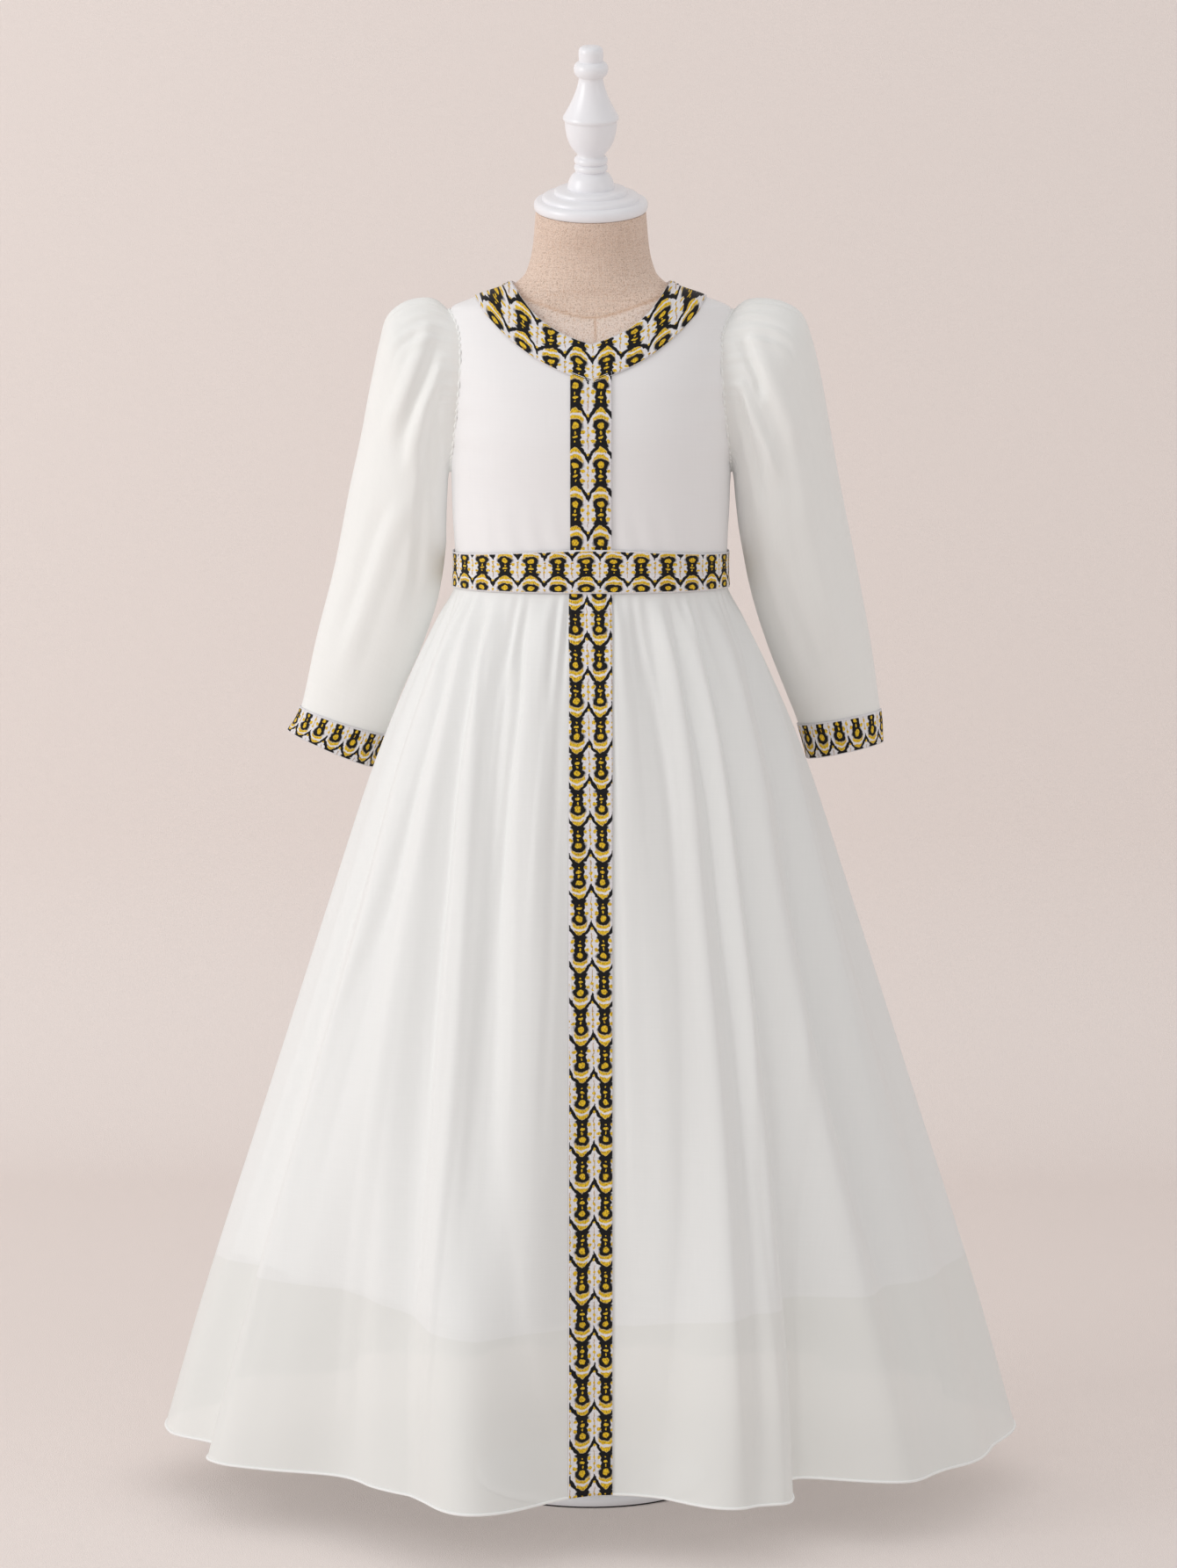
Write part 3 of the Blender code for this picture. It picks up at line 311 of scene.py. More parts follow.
def new_group(name, inputs, outputs):
    """A node group with named sockets of these kinds, and its input and output nodes."""
    group = bpy.data.node_groups.new(name, "ShaderNodeTree")
    for in_out, sockets in (("INPUT", inputs), ("OUTPUT", outputs)):
        for socket, kind in sockets.items():
            group.interface.new_socket(socket, in_out=in_out, socket_type="NodeSocket" + kind)
    return group, group.nodes.new("NodeGroupInput").outputs, group.nodes.new("NodeGroupOutput").inputs


def ranged(tree, value, from_low, from_high, to_low, to_high):
    """A value moved from one range to another, and held at its ends."""
    return add_node(tree, "ShaderNodeMapRange", value, from_low, from_high, to_low, to_high).outputs[0]


def scaled(tree, place, stretch):
    return add_node(tree, "ShaderNodeVectorMath", place, stretch, operation="MULTIPLY").outputs[0]


def plain_weave_group():
    """Group: plain weave on flat cloth places, with a height for bump and a shade that varies by yarn."""
    group, given, result = new_group(
        "plain weave",
        {"Cloth place": "Vector", "Yarn width": "Float"},
        {"Height": "Float", "Yarn shade": "Float"},
    )
    part = add_node(group, "ShaderNodeSeparateXYZ", given["Cloth place"])
    across, along = (reckon(group, "DIVIDE", part.outputs[axis], given["Yarn width"]) for axis in (0, 1))
    warp, weft = (
        reckon(group, "ABSOLUTE", reckon(group, "SINE", reckon(group, "MULTIPLY", yarns, math.pi)))
        for yarns in (across, along)
    )
    crossing = reckon(group, "ADD", reckon(group, "FLOOR", across), reckon(group, "FLOOR", along))
    over = reckon(group, "ABSOLUTE", reckon(group, "MODULO", crossing, 2.0))
    height = add_node(group, "ShaderNodeMix", over, None, warp, weft, data_type="FLOAT").outputs[0]
    streaks = [
        noise(group, scaled(group, given["Cloth place"], stretch), 900.0, 2.0)
        for stretch in ((1.0, 0.035, 1.0), (0.035, 1.0, 1.0))
    ]
    group.links.new(height, result["Height"])
    group.links.new(reckon(group, "MULTIPLY", reckon(group, "ADD", *streaks), 0.5), result["Yarn shade"])
    return group


plain_weave = plain_weave_group()


def cloth_place(tree, uv_map="cloth"):
    return add_node(tree, "ShaderNodeUVMap", uv_map=uv_map).outputs[0]


def point_mark(tree, name):
    return add_node(tree, "ShaderNodeAttribute", attribute_name=name).outputs["Fac"]


def woven(tree, place, yarn_width):
    """The plain weave placed in a material: its height and its yarn shade."""
    node = add_node(tree, "ShaderNodeGroup", place, yarn_width, node_tree=plain_weave)
    return node.outputs["Height"], node.outputs["Yarn shade"]


def between(tree, share, first, second, blend="MIX"):
    """A colour between two, by a share, or the second laid over the first in another blend."""
    colours = [side if isinstance(side, bpy.types.NodeSocket) else (*side, 1.0) for side in (first, second)]
    unused = [None] * 5
    return add_node(
        tree, "ShaderNodeMix", share, *unused, *colours, data_type="RGBA", blend_type=blend
    ).outputs[2]


def largest(tree, first, *others):
    for other in others:
        first = reckon(tree, "MAXIMUM", first, other)
    return first


def linen_material():
    """Linen with uneven yarns, and dark flecks that run along the warp, along the weft or neither way."""
    material, tree, shader = new_material("natural linen", LINEN_BEIGE, 0.92, Sheen_Weight=0.12)
    place = cloth_place(tree)
    height, shade = woven(tree, place, LINEN_YARN)
    uneven = noise(tree, place, 1150.0, 3.0)
    shade = add_node(tree, "ShaderNodeMix", 0.55, None, shade, uneven, data_type="FLOAT").outputs[0]
    colour = between(tree, ranged(tree, shade, 0.40, 0.54, 0.0, 1.0), LINEN_SHADE, LINEN_BEIGE)
    below_seam = reckon(tree, "MULTIPLY", point_mark(tree, "below neck seam"), 0.7)
    colour = between(tree, below_seam, colour, LINEN_PALE)
    seam_line = reckon(tree, "MULTIPLY", point_mark(tree, "seam line"), 0.55)
    colour = between(tree, seam_line, colour, LINEN_RUST)
    flecks = []
    for across, along, seed, most in FLECK_LAYERS:
        moved = add_node(
            tree, "ShaderNodeVectorMath", place, (across, along, 1.0), (seed, seed, 0.0),
            operation="MULTIPLY_ADD",
        )
        flecks.append(ranged(tree, noise(tree, moved.outputs[0], 1.0, 1.0), 0.60, 0.70, 0.0, most))
    slub = largest(tree, *flecks)
    hue = ranged(tree, noise(tree, place, 260.0, 1.0), 0.42, 0.58, 0.0, 1.0)
    fleck = between(tree, hue, LINEN_FLECK, LINEN_RUST)
    tree.links.new(between(tree, slub, colour, fleck), shader.inputs["Base Color"])
    raised = reckon(tree, "ADD", reckon(tree, "MULTIPLY", height, 0.5), reckon(tree, "ADD", shade, slub))
    raise_surface(tree, shader, 0.5, 0.0006, raised)
    return material


def lean(points):
    """The neck leans forward towards its top, where the tilted cap sits."""
    share = ease(NECK_LEAN_START, NECK_TOP, points[..., 2])
    turn = np.radians(CAP_TILT) * share
    up = points[..., 2] - NECK_LEAN_START
    y = points[..., 1] * np.cos(turn) - up * np.sin(turn)
    z = points[..., 1] * np.sin(turn) + up * np.cos(turn) + NECK_LEAN_START
    return np.stack([points[..., 0], y, z], axis=-1)


def make_form_body():
    """The torso and neck, closed below and above, set in a little at the shoulders and along the seams."""
    heights = np.concatenate([
        np.linspace(FORM_HEIGHTS[0], 0.90, TORSO_ROWS), np.linspace(0.904, NECK_TOP, NECK_ROWS)
    ])
    angles = np.linspace(-180.0, 180.0, FORM_COLUMNS, endpoint=False)
    height, angle = np.meshgrid(heights, angles, indexing="ij")
    normals = surface_normals(form_points, angle, height)
    surface = form_points(angle, height)
    at_shoulder = ease(0.975, 0.994, height) - ease(1.010, 1.0155, height)
    under = FORM_UNDER_CLOTH + SHOULDER_INSET * at_shoulder
    frontal = np.maximum(np.cos(np.radians(angle)), 0.0) ** 2
    above_seam = height - (NECK_SEAM_SIDE + (NECK_SEAM_FRONT - NECK_SEAM_SIDE) * frontal)
    neck_seam = np.exp(-((above_seam / SEAM_HALF_WIDTH) ** 2))
    chest_seam = np.exp(-(((surface[..., 0] - CHEST_SEAM_X) / SEAM_HALF_WIDTH) ** 2))
    chest_seam = chest_seam * (np.cos(np.radians(angle)) > 0) * (above_seam < 0)
    seams = np.maximum(neck_seam, chest_seam)
    under = under + SEAM_DEPTH * seams
    points = lean(surface - normals * under[..., None] * np.array([1.0, 1.0, 0.0]))
    places = np.stack([np.radians(angle) * GIRTH_RADIUS, height], axis=-1)
    faces = grid_faces(*height.shape, closed=True).tolist()
    faces.append(list(range(FORM_COLUMNS))[::-1])
    faces.append([height.size - FORM_COLUMNS + i for i in range(FORM_COLUMNS)])
    body = make_piece("torso_linen", points, faces, linen_material(), ["form_body"], places)
    body.data.set_sharp_from_angle(angle=math.radians(50))
    mark_points(body.data, "below neck seam", 1 - ease(-0.0012, 0.0002, above_seam))
    mark_points(body.data, "seam line", seams)


make_form_body()


# The cap, pole and foot of the form
# The cap is turned wood with a knob, beads and a stepped disc, sprayed gloss white. The pole is a plain
# steel tube, and the foot a heavy round plate with the same white paint and a near-black painted shadow
# along its lower edge.
CAP_OUTLINE = (
    (0.0000, 0.1374), (0.0050, 0.1373), (0.0076, 0.1368), (0.0092, 0.1357), (0.0100, 0.1340),
    (0.0102, 0.1318), (0.0102, 0.1288), (0.0100, 0.1260), (0.0098, 0.1246), (0.0112, 0.1240),
    (0.0130, 0.1226), (0.0140, 0.1206), (0.0143, 0.1184), (0.0140, 0.1160), (0.0130, 0.1137),
    (0.0114, 0.1121), (0.0102, 0.1114), (0.0099, 0.1106), (0.0104, 0.1078), (0.0112, 0.1045),
    (0.0121, 0.1013), (0.0132, 0.0981), (0.0145, 0.0948), (0.0160, 0.0915), (0.0176, 0.0882),
    (0.0194, 0.0849), (0.0208, 0.0824), (0.0222, 0.0800), (0.0230, 0.0787), (0.0232, 0.0777),
    (0.0230, 0.0766), (0.0224, 0.0757), (0.0217, 0.0752), (0.0216, 0.0744), (0.0215, 0.0715),
    (0.0212, 0.0685), (0.0206, 0.0650), (0.0199, 0.0618), (0.0187, 0.0583), (0.0173, 0.0552),
    (0.0155, 0.0524), (0.0137, 0.0501), (0.0120, 0.0481), (0.0113, 0.0466), (0.0116, 0.0456),
    (0.0126, 0.0450), (0.0136, 0.0440), (0.0140, 0.0422), (0.0136, 0.0404), (0.0126, 0.0395),
    (0.0119, 0.0391), (0.0126, 0.0386), (0.0136, 0.0377), (0.0140, 0.0360), (0.0136, 0.0342),
    (0.0126, 0.0333), (0.0119, 0.0328), (0.0128, 0.0320), (0.0146, 0.0308), (0.0162, 0.0291),
    (0.0175, 0.0270), (0.0184, 0.0248), (0.0190, 0.0226), (0.0194, 0.0206), (0.0195, 0.0190),
    (0.0240, 0.0183), (0.0286, 0.0178), (0.0299, 0.0172), (0.0305, 0.0161), (0.0306, 0.0146),
    (0.0350, 0.0136), (0.0386, 0.0129), (0.0398, 0.0121), (0.0403, 0.0110), (0.0405, 0.0096),
    (0.0440, 0.0092), (0.0458, 0.0083), (0.0469, 0.0068), (0.0473, 0.0048), (0.0472, 0.0030),
    (0.0467, 0.0014), (0.0458, 0.0004), (0.0440, 0.0000), (0.0000, 0.0000),
)
FOOT_OUTLINE = (
    (0.0000, 0.0240), (0.0120, 0.0240), (0.0172, 0.0238), (0.0188, 0.0230), (0.0195, 0.0215),
    (0.0200, 0.0160), (0.0208, 0.0132), (0.0240, 0.0120), (0.0600, 0.0110), (0.0900, 0.0100),
    (0.0945, 0.0092), (0.0968, 0.0078), (0.0978, 0.0060), (0.0980, 0.0026), (0.0974, 0.0014),
    (0.0972, 0.0004), (0.0966, 0.0000), (0.0000, 0.0000),
)
PAINT_WHITE = (0.86, 0.86, 0.89)
# Painted shadow: near-black for the foot's lower edge, standing in for its contact shadow on the floor
FOOT_EDGE_PAINTED_SHADOW = (0.035, 0.03, 0.03)
STEEL_GREY = (0.50, 0.50, 0.52)
CAP_OFF_NECK = 0.0003
PAINTED_SHADOW_TOP = 0.0013


def turned(outline, steps):
    """Points and faces of a turned solid, from an outline that runs down from its top on the axis."""
    radii = np.array([radius for radius, _ in outline[1:-1]])
    heights = np.array([height for _, height in outline[1:-1]])
    angles = np.linspace(0.0, 360.0, steps, endpoint=False)
    radius, angle = np.meshgrid(radii[::-1], angles, indexing="ij")
    height = np.repeat(heights[::-1][:, None], steps, axis=1)
    points = round_points(radius, angle, height).reshape(-1, 3)
    rows = len(radii)
    faces = grid_faces(rows, steps, closed=True).tolist()
    bottom, top = len(points), len(points) + 1
    points = np.vstack([points, [[0, 0, outline[-1][1]], [0, 0, outline[0][1]]]])
    faces += [[bottom, (i + 1) % steps, i] for i in range(steps)]
    faces += [[top, (rows - 1) * steps + i, (rows - 1) * steps + (i + 1) % steps] for i in range(steps)]
    return points, faces


def gloss_material():
    material, tree, shader = new_material(
        "gloss white paint", PAINT_WHITE, 0.38, Coat_Weight=0.35, Coat_Roughness=0.22
    )
    haze = noise(tree, object_place(tree), 60.0, 3.0)
    tree.links.new(ranged(tree, haze, 0.3, 0.7, 0.32, 0.46), shader.inputs["Roughness"])
    raise_surface(tree, shader, 0.10, 0.0004, haze)
    return material


def steel_material():
    """Steel with a grain that runs up the tube."""
    material, tree, shader = new_material("brushed steel tube", STEEL_GREY, 0.38, Metallic=0.95)
    grain = noise(tree, scaled(tree, object_place(tree), (400.0, 400.0, 6.0)), 4.0, 2.0)
    tree.links.new(ranged(tree, grain, 0.3, 0.7, 0.3, 0.5), shader.inputs["Roughness"])
    return material


def make_cap(material):
    points, faces = turned(CAP_OUTLINE, 96)
    tilt = np.array(Matrix.Rotation(math.radians(CAP_TILT), 3, "X"))
    top = lean(np.array([0.0, 0.0, NECK_TOP]))
    points = points @ tilt.T + top + tilt @ np.array([0.0, 0.0, CAP_OFF_NECK])
    cap = make_piece("turned_cap", points, faces, material, ["form_cap"])
    cap.data.set_sharp_from_angle(angle=math.radians(60))


def make_foot(material):
    points, faces = turned(FOOT_OUTLINE, 128)
    foot = make_piece("round_foot", points, faces, material, ["form_base"])
    foot.data.set_sharp_from_angle(angle=math.radians(50))
    painted_shadow, _, _ = new_material("painted shadow edge", FOOT_EDGE_PAINTED_SHADOW, 0.95)
    foot.data.materials.append(painted_shadow)
    # Painted shadow: the faces along the foot's lower edge take the near-black colour of its contact shadow
    for face in foot.data.polygons:
        if face.center.z < PAINTED_SHADOW_TOP:
            face.material_index = 1


gloss = gloss_material()
make_cap(gloss)
make_foot(gloss)
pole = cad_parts["form_pole"]
pole.data.materials.clear()
pole.data.materials.append(steel_material())


# Bodice
# Front cut in one piece and two back halves, in smooth white crepe-backed satin, sewn at the shoulders,
# sides and centre back. The cloth is taut over the form, with slight drag lines at the armholes.
WAIST_SEAM = 0.785
SIDE_SEAM_TOP = 0.864
SHOULDER_TIP = 0.997
ARMHOLE_HALF_DEPTH = 0.038
BODICE_HALF_WIDTH = 0.116
ROUND_THE_CHEST = 1.15
BODICE_OFF_FORM = 0.0006
BODICE_EASE_AT_WAIST = 0.0012
BODICE_THICK = 0.0014
BODICE_WALL = 0.0012
PANEL_ROWS = 104
BAND_ROWS = 13
# Each edge of the neck band: its height at the centre and at the shoulder, and how straight it runs
NECK_EDGES = {
    "front outer": (0.9380, 1.0064, 0.50),
    "front inner": (0.9690, 1.0190, 0.40),
    "back outer": (0.9790, 1.0064, 0.00),
    "back inner": (1.0040, 1.0190, 0.00),
}
BODICE_WHITE = (0.875, 0.865, 0.870)
BODICE_YARN = 0.00045
DRAG_HEIGHT = 0.00045
WAIST_EASE_HEIGHT = 0.00035


def neck_edge(edge, share):
    """x and height on a neck edge, seen from the front, at shares from -1 to 1 of its width."""
    centre, shoulder, straightness = NECK_EDGES[edge]
    reach = np.abs(share)
    rise = straightness * reach + (1 - straightness) * reach**3
    half_width = form_section(np.array(shoulder))[0]
    return share * half_width, centre + (shoulder - centre) * rise


def armhole_points(turn, shrink=0.0):
    """Angle round the form and height of the armhole's edge. Turn 0 is its top and 90 its front."""
    middle, half = (SHOULDER_TIP + SIDE_SEAM_TOP) / 2, (SHOULDER_TIP - SIDE_SEAM_TOP) / 2
    height = middle + (half - shrink) * np.cos(np.radians(turn))
    forward = (ARMHOLE_HALF_DEPTH - shrink) * np.sin(np.radians(turn))
    half_width, front_depth, back_depth, squareness = form_section(height)
    share = np.abs(forward) / np.where(forward > 0, front_depth, back_depth)
    across = half_width * (1 - share**squareness) ** (1 / squareness)
    return np.degrees(np.arctan2(across, forward)), height


def lengths_along(line):
    """The length walked to each point of a line."""
    return np.concatenate([[0.0], np.cumsum(np.linalg.norm(np.diff(line, axis=0), axis=1))])


def bodice_side(back, t):
    """x and height up the side seam, round the armhole and along the shoulder, at shares of the way."""
    seam = np.linspace(WAIST_SEAM, SIDE_SEAM_TOP, 20)[:-1]
    turns = np.linspace(180.0, 0.0, 90)
    angle, height = armhole_points(-turns if back else turns)
    shoulder = np.linspace(SHOULDER_TIP, NECK_EDGES["front outer"][1], 12)[1:]
    armhole_x = np.abs(form_points(angle, height)[..., 0])
    x = np.concatenate([form_section(seam)[0], armhole_x, form_section(shoulder)[0]])
    z = np.concatenate([seam, height, shoulder])
    length = lengths_along(np.stack([x, z], axis=-1))
    return np.interp(t, length / length[-1], x), np.interp(t, length / length[-1], z)


def bodice_patch(s, t, back):
    """x and height on half a bodice panel below the neck band, s from the centre to the side."""
    side = "back" if back else "front"
    waist_angle = 180.0 - 90.0 * s if back else 90.0 * s
    waist_x = np.abs(form_points(waist_angle, np.full_like(s, WAIST_SEAM))[..., 0])
    neck_x, neck_z = neck_edge(side + " outer", np.sin(np.radians(90.0 * s)))
    side_x, side_z = bodice_side(back, t)
    centre_top = NECK_EDGES[side + " outer"][0]
    corner_x, corner_z = bodice_side(back, np.array([0.0, 1.0]))
    centre_z = WAIST_SEAM + (centre_top - WAIST_SEAM) * t
    x = (1 - t) * waist_x + t * neck_x + s * side_x - s * (1 - t) * corner_x[0] - s * t * corner_x[1]
    z = (
        (1 - t) * WAIST_SEAM
        + t * neck_z
        + (1 - s) * centre_z
        + s * side_z
        - (1 - s) * (1 - t) * WAIST_SEAM
        - s * (1 - t) * corner_z[0]
        - (1 - s) * t * centre_top
        - s * t * corner_z[1]
    )
    return x, z


def bodice_clearance(height):
    return BODICE_OFF_FORM + BODICE_EASE_AT_WAIST * (1 - ease(0.800, 0.860, height))


def seam_held(points, back, middle=0):
    """Keeps points on their own side of the side seams and, if middle is -1 or 1, of the back seam."""
    points[..., 1] = np.maximum(points[..., 1], 0.0) if back else np.minimum(points[..., 1], 0.0)
    if middle:
        points[..., 0] = middle * np.maximum(middle * points[..., 0], 0.0)
    return points


def dimmed(colour, share):
    return tuple(share * part for part in colour)


def crepe_material():
    material, tree, shader = new_material("white crepe satin", BODICE_WHITE, 0.62, Sheen_Weight=0.12)
    place = cloth_place(tree)
    height, shade = woven(tree, place, BODICE_YARN)
    colour = between(tree, shade, dimmed(BODICE_WHITE, 0.95), BODICE_WHITE)
    tree.links.new(colour, shader.inputs["Base Color"])
    pebble = noise(tree, place, 1400.0, 2.0)
    raise_surface(tree, shader, 0.25, 0.0003, reckon(tree, "MULTIPLY_ADD", height, 0.25, pebble))
    return material


def bodice_drag(x, height, back):
    """Soft drag lines of the taut cloth: across from the armholes, and a little ease over the waist."""
    side = np.abs(x) / BODICE_HALF_WIDTH
    lines = np.sin((height * 240.0 - side * 5.0) + np.sign(x) * 1.3 + (2.0 if back else 0.0))
    near_armhole = ease(0.55, 1.0, side) * (1 - ease(0.96, 0.99, height)) * ease(0.84, 0.89, height)
    over_waist = (1 - ease(0.81, 0.85, height)) * np.sin(x * 330.0 + height * 60.0)
    return DRAG_HEIGHT * lines * near_armhole + WAIST_EASE_HEIGHT * over_waist


def on_form(angle, height, out):
    """Points at a distance straight out of the form's surface."""
    normals = surface_normals(form_points, angle, height)
    return form_points(angle, height) + normals * np.asarray(out)[..., None]


def thicken(piece, name, thickness):
    """Cloth of this thickness inside its outer face."""
    wall = piece.modifiers.new(name, "SOLIDIFY")
    wall.thickness = thickness
    wall.offset = -1.0


def make_bodice_panel(name, first, last, back, columns, material):
    """A panel from one share of the half-width to another: the patch below the neck band, and the cloth
    under the band."""
    side = "back" if back else "front"
    middle = 0 if first < 0 < last else np.sign(first + last)
    share = np.linspace(first, last, columns)
    s = np.abs(share)
    below_t, below_s = np.meshgrid(np.linspace(0.0, 1.0, PANEL_ROWS), s, indexing="ij")
    x, z = bodice_patch(below_s, below_t, back)
    band_t, band_s = np.meshgrid(np.linspace(0.0, 1.0, BAND_ROWS + 1)[1:], s, indexing="ij")
    outer_x, outer_z = neck_edge(side + " outer", np.sin(np.radians(90.0 * band_s)))
    inner_x, inner_z = neck_edge(side + " inner", np.sin(np.radians(90.0 * band_s)))
    x = np.vstack([x, outer_x + (inner_x - outer_x) * band_t])
    z = np.vstack([z, outer_z + (inner_z - outer_z) * band_t])
    x = np.copysign(x, share[None, :])
    out = bodice_clearance(z) + BODICE_THICK + bodice_drag(x, z, back)
    points = seam_held(on_form(form_angles(x, z, back), z, out), back, middle)
    places = np.stack([x * ROUND_THE_CHEST, z], axis=-1)
    faces = grid_faces(*x.shape)
    if back:
        faces = faces[:, ::-1]
    panel = make_piece(name + "_cloth", points, faces, material, [name], places)
    thicken(panel, "cloth thickness", BODICE_WALL)
    return panel


crepe = crepe_material()
bodice_front = make_bodice_panel("bodice_front", -1.0, 1.0, False, 150, crepe)
bodice_back_right = make_bodice_panel("bodice_back_right", -1.0, 0.0, True, 76, crepe)
bodice_back_left = make_bodice_panel("bodice_back_left", 0.0, 1.0, True, 76, crepe)


# Ribbons
# A jacquard ribbon in black, gold and white, woven with rows of pointed scales that each hold a keyhole
# on a stem. It is laid round the neck, waist and wrists and down the front, and topstitched at its edges.
BODICE_RIBBON_WIDTH = 0.0340
SKIRT_RIBBON_WIDTH = 0.0355
RIBBON_THICK = 0.0010
RIBBON_OFF_BODICE = 0.0006
BAND_OFF_FORM = 0.0043
BAND_BOTTOM = 0.767
BAND_FRONT_WIDTH = 0.0365
BAND_SIDE_WIDTH = 0.0300
UNDER_WAIST_BAND = 0.004
UNDER_NECK_BAND = 0.003
MITRE_SHIFT = 0.0105
RIBBON_BLACK = (0.005, 0.0045, 0.006)
RIBBON_GOLD = (0.90, 0.60, 0.028)
RIBBON_OLD_GOLD = (0.40, 0.205, 0.012)
RIBBON_WHITE = (0.83, 0.81, 0.83)
RIBBON_YARN = 0.0006
YARN_WANDER = 0.0034
# The motif's golden spots: centre across, from 0 at the stem to 0.5 between two columns, centre down the
# row, half-width and half-height, all in shares of the two pitches
GOLD_SPOTS = (
    (0.0, 0.490, 0.125, 0.080),
    (0.0, 0.660, 0.035, 0.040),
    (0.0, 0.775, 0.095, 0.038),
    (0.0, 0.885, 0.035, 0.022),
    (0.300, 0.640, 0.078, 0.050),
    (0.290, 0.890, 0.078, 0.050),
    (0.500, 0.550, 0.050, 0.036),
    (0.500, 0.740, 0.062, 0.044),
    (0.500, 0.900, 0.040, 0.030),
    (0.500, 1.220, 0.050, 0.036),
)


def spot_group():
    """Group: 1 inside an ellipse at a centre, 0 outside, for one spot of the ribbon's motif."""
    names = ("Across", "Down", "Centre across", "Centre down", "Half width", "Half height")
    group, given, result = new_group("motif spot", dict.fromkeys(names, "Float"), {"Inside": "Float"})
    squares = []
    for place, centre, half in (
        ("Across", "Centre across", "Half width"),
        ("Down", "Centre down", "Half height"),
    ):
        beside = reckon(group, "SUBTRACT", given[place], given[centre])
        share = reckon(group, "DIVIDE", beside, given[half])
        squares.append(reckon(group, "MULTIPLY", share, share))
    reach = reckon(group, "SQRT", reckon(group, "ADD", *squares))
    group.links.new(ranged(group, reach, 0.88, 1.12, 1.0, 0.0), result["Inside"])
    return group


motif_spot = spot_group()


def spot(tree, across, down, *centre_and_size):
    return add_node(tree, "ShaderNodeGroup", across, down, *centre_and_size, node_tree=motif_spot).outputs[0]


def within(tree, value, low, high, soft):
    """1 between low and high, and 0 outside, with soft edges. Each limit is a number or a socket."""
    above = reckon(tree, "SUBTRACT", value, low)
    below = reckon(tree, "SUBTRACT", high, value)
    return ranged(tree, reckon(tree, "MINIMUM", above, below), -soft, soft, 0.0, 1.0)


def both(tree, first, second):
    return reckon(tree, "MULTIPLY", first, second)


def strayed_places(group, given, place):
    """The places across and along, each moved a little to and fro as the weave does."""
    wander = add_node(group, "ShaderNodeTexNoise", place, None, 230.0, 2.0).outputs["Color"]
    drift = add_node(group, "ShaderNodeSeparateXYZ", wander).outputs
    return (
        reckon(group, "MULTIPLY_ADD", reckon(group, "SUBTRACT", drift[axis], 0.5), YARN_WANDER, given[name])
        for axis, name in enumerate(("Across", "Along"))
    )


def motif_group():
    """Group: the ribbon's scale and keyhole motif at a place in metres across and along the ribbon. In it,
    side is the share from a column's middle and down the share from the top of a row, which arches."""
    group, given, result = new_group(
        "keyhole scale motif",
        dict.fromkeys(("Across", "Along", "Column pitch", "Row pitch"), "Float"),
        {"Colour": "Color", "Raised": "Float"},
    )
    place = add_node(group, "ShaderNodeCombineXYZ", given["Across"], given["Along"]).outputs[0]
    across, along = strayed_places(group, given, place)
    column = reckon(group, "DIVIDE", across, given["Column pitch"])
    row = reckon(group, "DIVIDE", along, given["Row pitch"])
    side = reckon(group, "ABSOLUTE", reckon(group, "SUBTRACT", reckon(group, "FRACT", column), 0.5))
    up = reckon(group, "SUBTRACT", 1.0, reckon(group, "FRACT", row))
    twice = reckon(group, "MULTIPLY", side, 2.0)
    arch = reckon(group, "MULTIPLY", reckon(group, "POWER", twice, 1.8), 0.36)
    down = reckon(group, "ADD", up, reckon(group, "LESS_THAN", up, arch))
    below = reckon(group, "SUBTRACT", down, arch)

    nearest_arch = reckon(group, "MINIMUM", below, reckon(group, "SUBTRACT", 1.0, below))
    line_half = reckon(group, "MULTIPLY_ADD", twice, 0.058, 0.036)
    outline = within(group, nearest_arch, -1.0, line_half, 0.010)
    post = both(group, within(group, side, 0.465, 1.0, 0.012), within(group, below, -1.0, 0.115, 0.015))
    head = spot(group, side, down, 0.0, 0.475, 0.320, 0.165)
    wave = reckon(group, "MULTIPLY", reckon(group, "SINE", reckon(group, "MULTIPLY", down, 42.0)), 0.018)
    stem_half = reckon(group, "ADD", wave, 0.225)
    stem = both(group, within(group, side, -1.0, stem_half, 0.015), within(group, down, 0.50, 1.01, 0.010))
    foot = spot(group, side, down, 0.0, 0.985, 0.30, 0.085)
    black = largest(group, outline, post, head, stem, foot)

    cap_low = reckon(group, "MULTIPLY_ADD", reckon(group, "MULTIPLY", side, side), 0.9, 0.155)
    cap = both(group, within(group, below, 0.025, 1.0, 0.010), within(group, down, -1.0, cap_low, 0.010))
    cap = both(group, within(group, side, -1.0, 0.235, 0.02), cap)
    crescent_top, crescent_low = (reckon(group, "ADD", cap_low, gap) for gap in (0.060, 0.200))
    crescent = within(group, down, crescent_top, crescent_low, 0.010)
    crescent = both(group, within(group, side, -1.0, 0.300, 0.02), crescent)
    gold = both(group, largest(group, cap, crescent), reckon(group, "SUBTRACT", 1.0, black))
    gold = largest(group, gold, *(spot(group, side, down, *mark) for mark in GOLD_SPOTS))
    thread_line = both(group, within(group, side, 0.482, 1.0, 0.010), within(group, down, 0.56, 1.10, 0.02))

    tone = noise(group, scaled(group, place, (1.0, 0.35, 1.0)), 1500.0, 2.0)
    yellow = between(group, ranged(group, tone, 0.36, 0.54, 0.0, 1.0), RIBBON_OLD_GOLD, RIBBON_GOLD)
    colour = between(group, black, RIBBON_WHITE, RIBBON_BLACK)
    colour = between(group, reckon(group, "MULTIPLY", thread_line, 0.75), colour, RIBBON_OLD_GOLD)
    group.links.new(between(group, gold, colour, yellow), result["Colour"])
    group.links.new(largest(group, black, gold), result["Raised"])
    return group


motif = motif_group()


